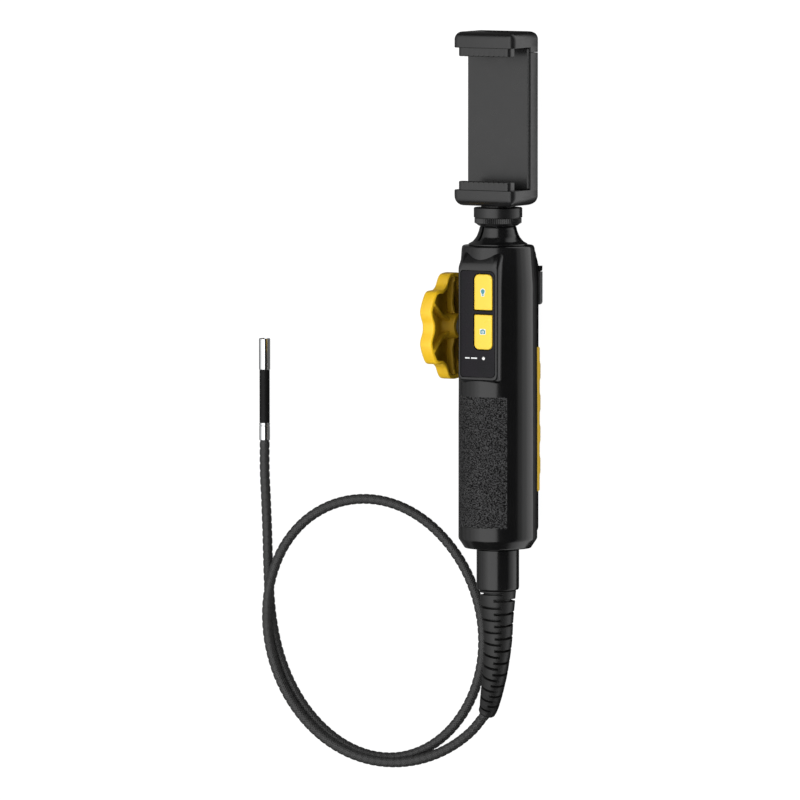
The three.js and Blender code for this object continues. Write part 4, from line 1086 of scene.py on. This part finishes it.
# ===================================================================== tip
TX, TZ = -158.0, -23.95
PITCH = 28.4 / 6
hinge_h = [58.9 + (i - 0.5) * PITCH for i in range(1, 7)]
base = revolve("tip_ring", [(1.3, 49.3, 0.1), (2.75, 49.3, 0.2), (2.85, 49.6, 0.1), (2.85, 56.9, 0.08), (2.72, 57.05, 0.05), (2.72, 57.35, 0.05), (2.85, 57.5, 0.08), (2.85, 58.6, 0.15), (2.5, 58.8, 0.05), (2.5, 61.0, 0.1), (1.3, 61.0, 0.1)], MAT["chrome"], 56, TX, TZ, angle=35)
stand(base, "root", "tip_base_ring", slot="chrome")
HY0 = 58.9 + 28.4
head = revolve("camera_barrel", [(1.3, 85.3, 0.05), (2.5, 85.3, 0.05), (2.5, 87.25, 0.0), (2.85, 87.35, 0.1), (3.0, 87.6, 0.1), (3.0, 103.9, 0.18), (2.75, 104.25, 0.1), (2.45, 104.25, 0.08), (2.45, 91.3, 0.0), (1.3, 91.3, 0.0)], MAT["chrome"], 56, TX, TZ, angle=35)
stand(head, "tip_6", "camera_head", slot="chrome")

# black rubber skin over the bending section, one length per hinge
SK_R = 2.78
bodies = ["root"] + ["tip_%d" % i for i in range(1, 7)]
edges = [58.75] + [(hinge_h[i] + hinge_h[i + 1]) / 2 for i in range(5)] + [87.3]
for i in range(6):
    h0, h1 = edges[i], edges[i + 1]
    rows = []
    nn = 13
    for k in range(nn):
        h = h0 + (h1 - h0) * k / (nn - 1)
        r = SK_R - 0.05 * (0.5 + 0.5 * math.cos(2 * math.pi * (h - 58.75) / 1.19))
        if i == 0 and k == 0:
            r -= 0.12
        if i == 5 and k == nn - 1:
            r -= 0.12
        rows.append([(TX + r * math.cos(2 * math.pi * j / 40), h, TZ + r * math.sin(2 * math.pi * j / 40)) for j in range(40)])
    for h, r in [(h1, 2.6), (h0, 2.6)]:
        rows.append([(TX + r * math.cos(2 * math.pi * j / 40), h, TZ + r * math.sin(2 * math.pi * j / 40)) for j in range(40)])
    verts = [p for r in rows for p in r]
    faces = []
    m = len(rows)
    for a in range(m):
        b = (a + 1) % m
        for j in range(40):
            j2 = (j + 1) % 40
            faces.append((a * 40 + j, a * 40 + j2, b * 40 + j2, b * 40 + j))
    o = obj("bend_skin_%d" % (i + 1), verts, faces, MAT["skin"], angle=50)
    a, b = bodies[i], bodies[i + 1]
    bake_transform(o)

# ================================================= CAD nodes that stay as they are
KEEP = {
    "steel": ["phone_stud", "guide_rod_left", "guide_rod_right", "jaw_spring", "knob_screw", "knob_shaft", "drum_bracket", "pull_wire_a", "pull_wire_b", "cover_hinge_pin", "tube_anchor", "charge_port", "shell_screw_1", "shell_screw_2", "shell_screw_3", "shell_screw_4"],
    "brass": ["clamp_insert"],
    "board": ["main_board", "charge_board"],
    "dark": ["steering_drum", "light_switch", "photo_switch", "camera_module"] + ["bend_link_%d" % i for i in range(1, 6)],
    "cell": ["battery"],
    "diffuser": ["led_board"],
    "lens": ["lens_window"],
    "rubber": ["signal_cable", "clamp_washer", "collar_seal"],
}
for k, names in KEEP.items():
    for nme in names:
        o = frame["nodes"][nme]
        for s in o.material_slots:
            s.link = 'OBJECT'
            s.material = MAT[k]
        for p in o.data.polygons:
            pass

# ==================================================================== studio
def floor():
    """plain white backlit table"""
    me = bpy.data.meshes.new("studio_floor")
    s = 9.0
    me.from_pydata([(-s, -s, 0), (s, -s, 0), (s, s, 0), (-s, s, 0)], [], [(0, 1, 2, 3)])
    o = bpy.data.objects.new("studio_floor", me)
    bpy.context.scene.collection.objects.link(o)
    m = bpy.data.materials.new("studio_floor")
    m.use_nodes = True
    b = m.node_tree.nodes["Principled BSDF"]
    b.inputs["Base Color"].default_value = (0.1, 0.1, 0.1, 1)
    b.inputs["Roughness"].default_value = 0.9
    b.inputs["Specular IOR Level"].default_value = 0.0
    b.inputs["Emission Color"].default_value = (1, 1, 1, 1)
    b.inputs["Emission Strength"].default_value = 0.97
    me.materials.append(m)
    o.visible_diffuse = False
    o.visible_glossy = False
    return o
floor()

def strip(name, x0, x1, radiance):
    """part of the bright table top as it shows in glossy surfaces"""
    me = bpy.data.meshes.new(name)
    me.from_pydata([(x0, -1.6, -0.004), (x1, -1.6, -0.004), (x1, 1.6, -0.004), (x0, 1.6, -0.004)], [], [(0, 1, 2, 3)])
    o = bpy.data.objects.new(name, me)
    bpy.context.scene.collection.objects.link(o)
    m = bpy.data.materials.new(name)
    m.use_nodes = True
    b = m.node_tree.nodes["Principled BSDF"]
    b.inputs["Base Color"].default_value = (0, 0, 0, 1)
    b.inputs["Specular IOR Level"].default_value = 0.0
    b.inputs["Emission Color"].default_value = (1, 1, 1, 1)
    b.inputs["Emission Strength"].default_value = radiance
    me.materials.append(m)
    o.visible_camera = False
    o.visible_diffuse = False
for i, (x0, x1, r) in enumerate([(-4.0, -0.55, 0.30), (-0.55, -0.20, 0.2), (-0.20, -0.02, 0.14), (0.036, 0.08, 1.35), (0.08, 0.17, 0.95), (0.17, 4.0, 0.5)]):
    strip("table_strip_%d" % (i + 1), x0, x1, r)

def softbox(name, p0, p1, y0, y1, radiance):
    """a long light parallel to the handle between the points p0 and p1 in the x-z plane"""
    (x0, z0), (x1, z1) = p0, p1
    c = Vector(((x0 + x1) / 2, (y0 + y1) / 2, (z0 + z1) / 2))
    sx = math.hypot(x1 - x0, z1 - z0)
    l = bpy.data.lights.new(name, 'AREA')
    l.shape = 'RECTANGLE'
    l.size, l.size_y = sx, y1 - y0
    l.energy = radiance * sx * (y1 - y0) * math.pi
    o = bpy.data.objects.new(name, l)
    bpy.context.scene.collection.objects.link(o)
    ax = Vector(((x1 - x0) / sx, 0, (z1 - z0) / sx))
    ay = Vector((0, 1, 0))
    az = ax.cross(ay)
    if az.dot(c) < 0:        # the light shines along its own -z, towards the object
        ax = -ax
        az = ax.cross(ay)
    o.matrix_world = Matrix.Translation(c) @ Matrix((ax, ay, az)).transposed().to_4x4()
    o.visible_camera = False
    return o
# directions round the handle, from the left horizon over the top to 54 degrees on the right
softbox("softbox_top", (-0.50, 1.0), (0.50, 1.0), -1.5, 1.5, 1.85)
softbox("softbox_mid", (-0.85, 1.0), (-0.50, 1.0), -1.5, 1.5, 1.4)
softbox("softbox_left", (-1.45, 1.0), (-0.85, 1.0), -1.5, 1.5, 0.95)
softbox("softbox_side", (-1.45, 0.40), (-1.45, 1.0), -1.5, 1.5, 0.6)
softbox("softbox_low", (-1.45, 0.01), (-1.45, 0.40), -1.5, 1.5, 0.33)
fill = softbox("softbox_right", (1.2, 0.1), (1.2, 0.9), -1.5, 1.5, 2.6)
fill.visible_glossy = False
w = bpy.data.worlds.new("studio")
w.use_nodes = True
w.node_tree.nodes["Background"].inputs["Color"].default_value = (1, 1, 1, 1)
w.node_tree.nodes["Background"].inputs["Strength"].default_value = 0.03
bpy.context.scene.world = w
bpy.context.scene.view_settings.view_transform = 'Standard'
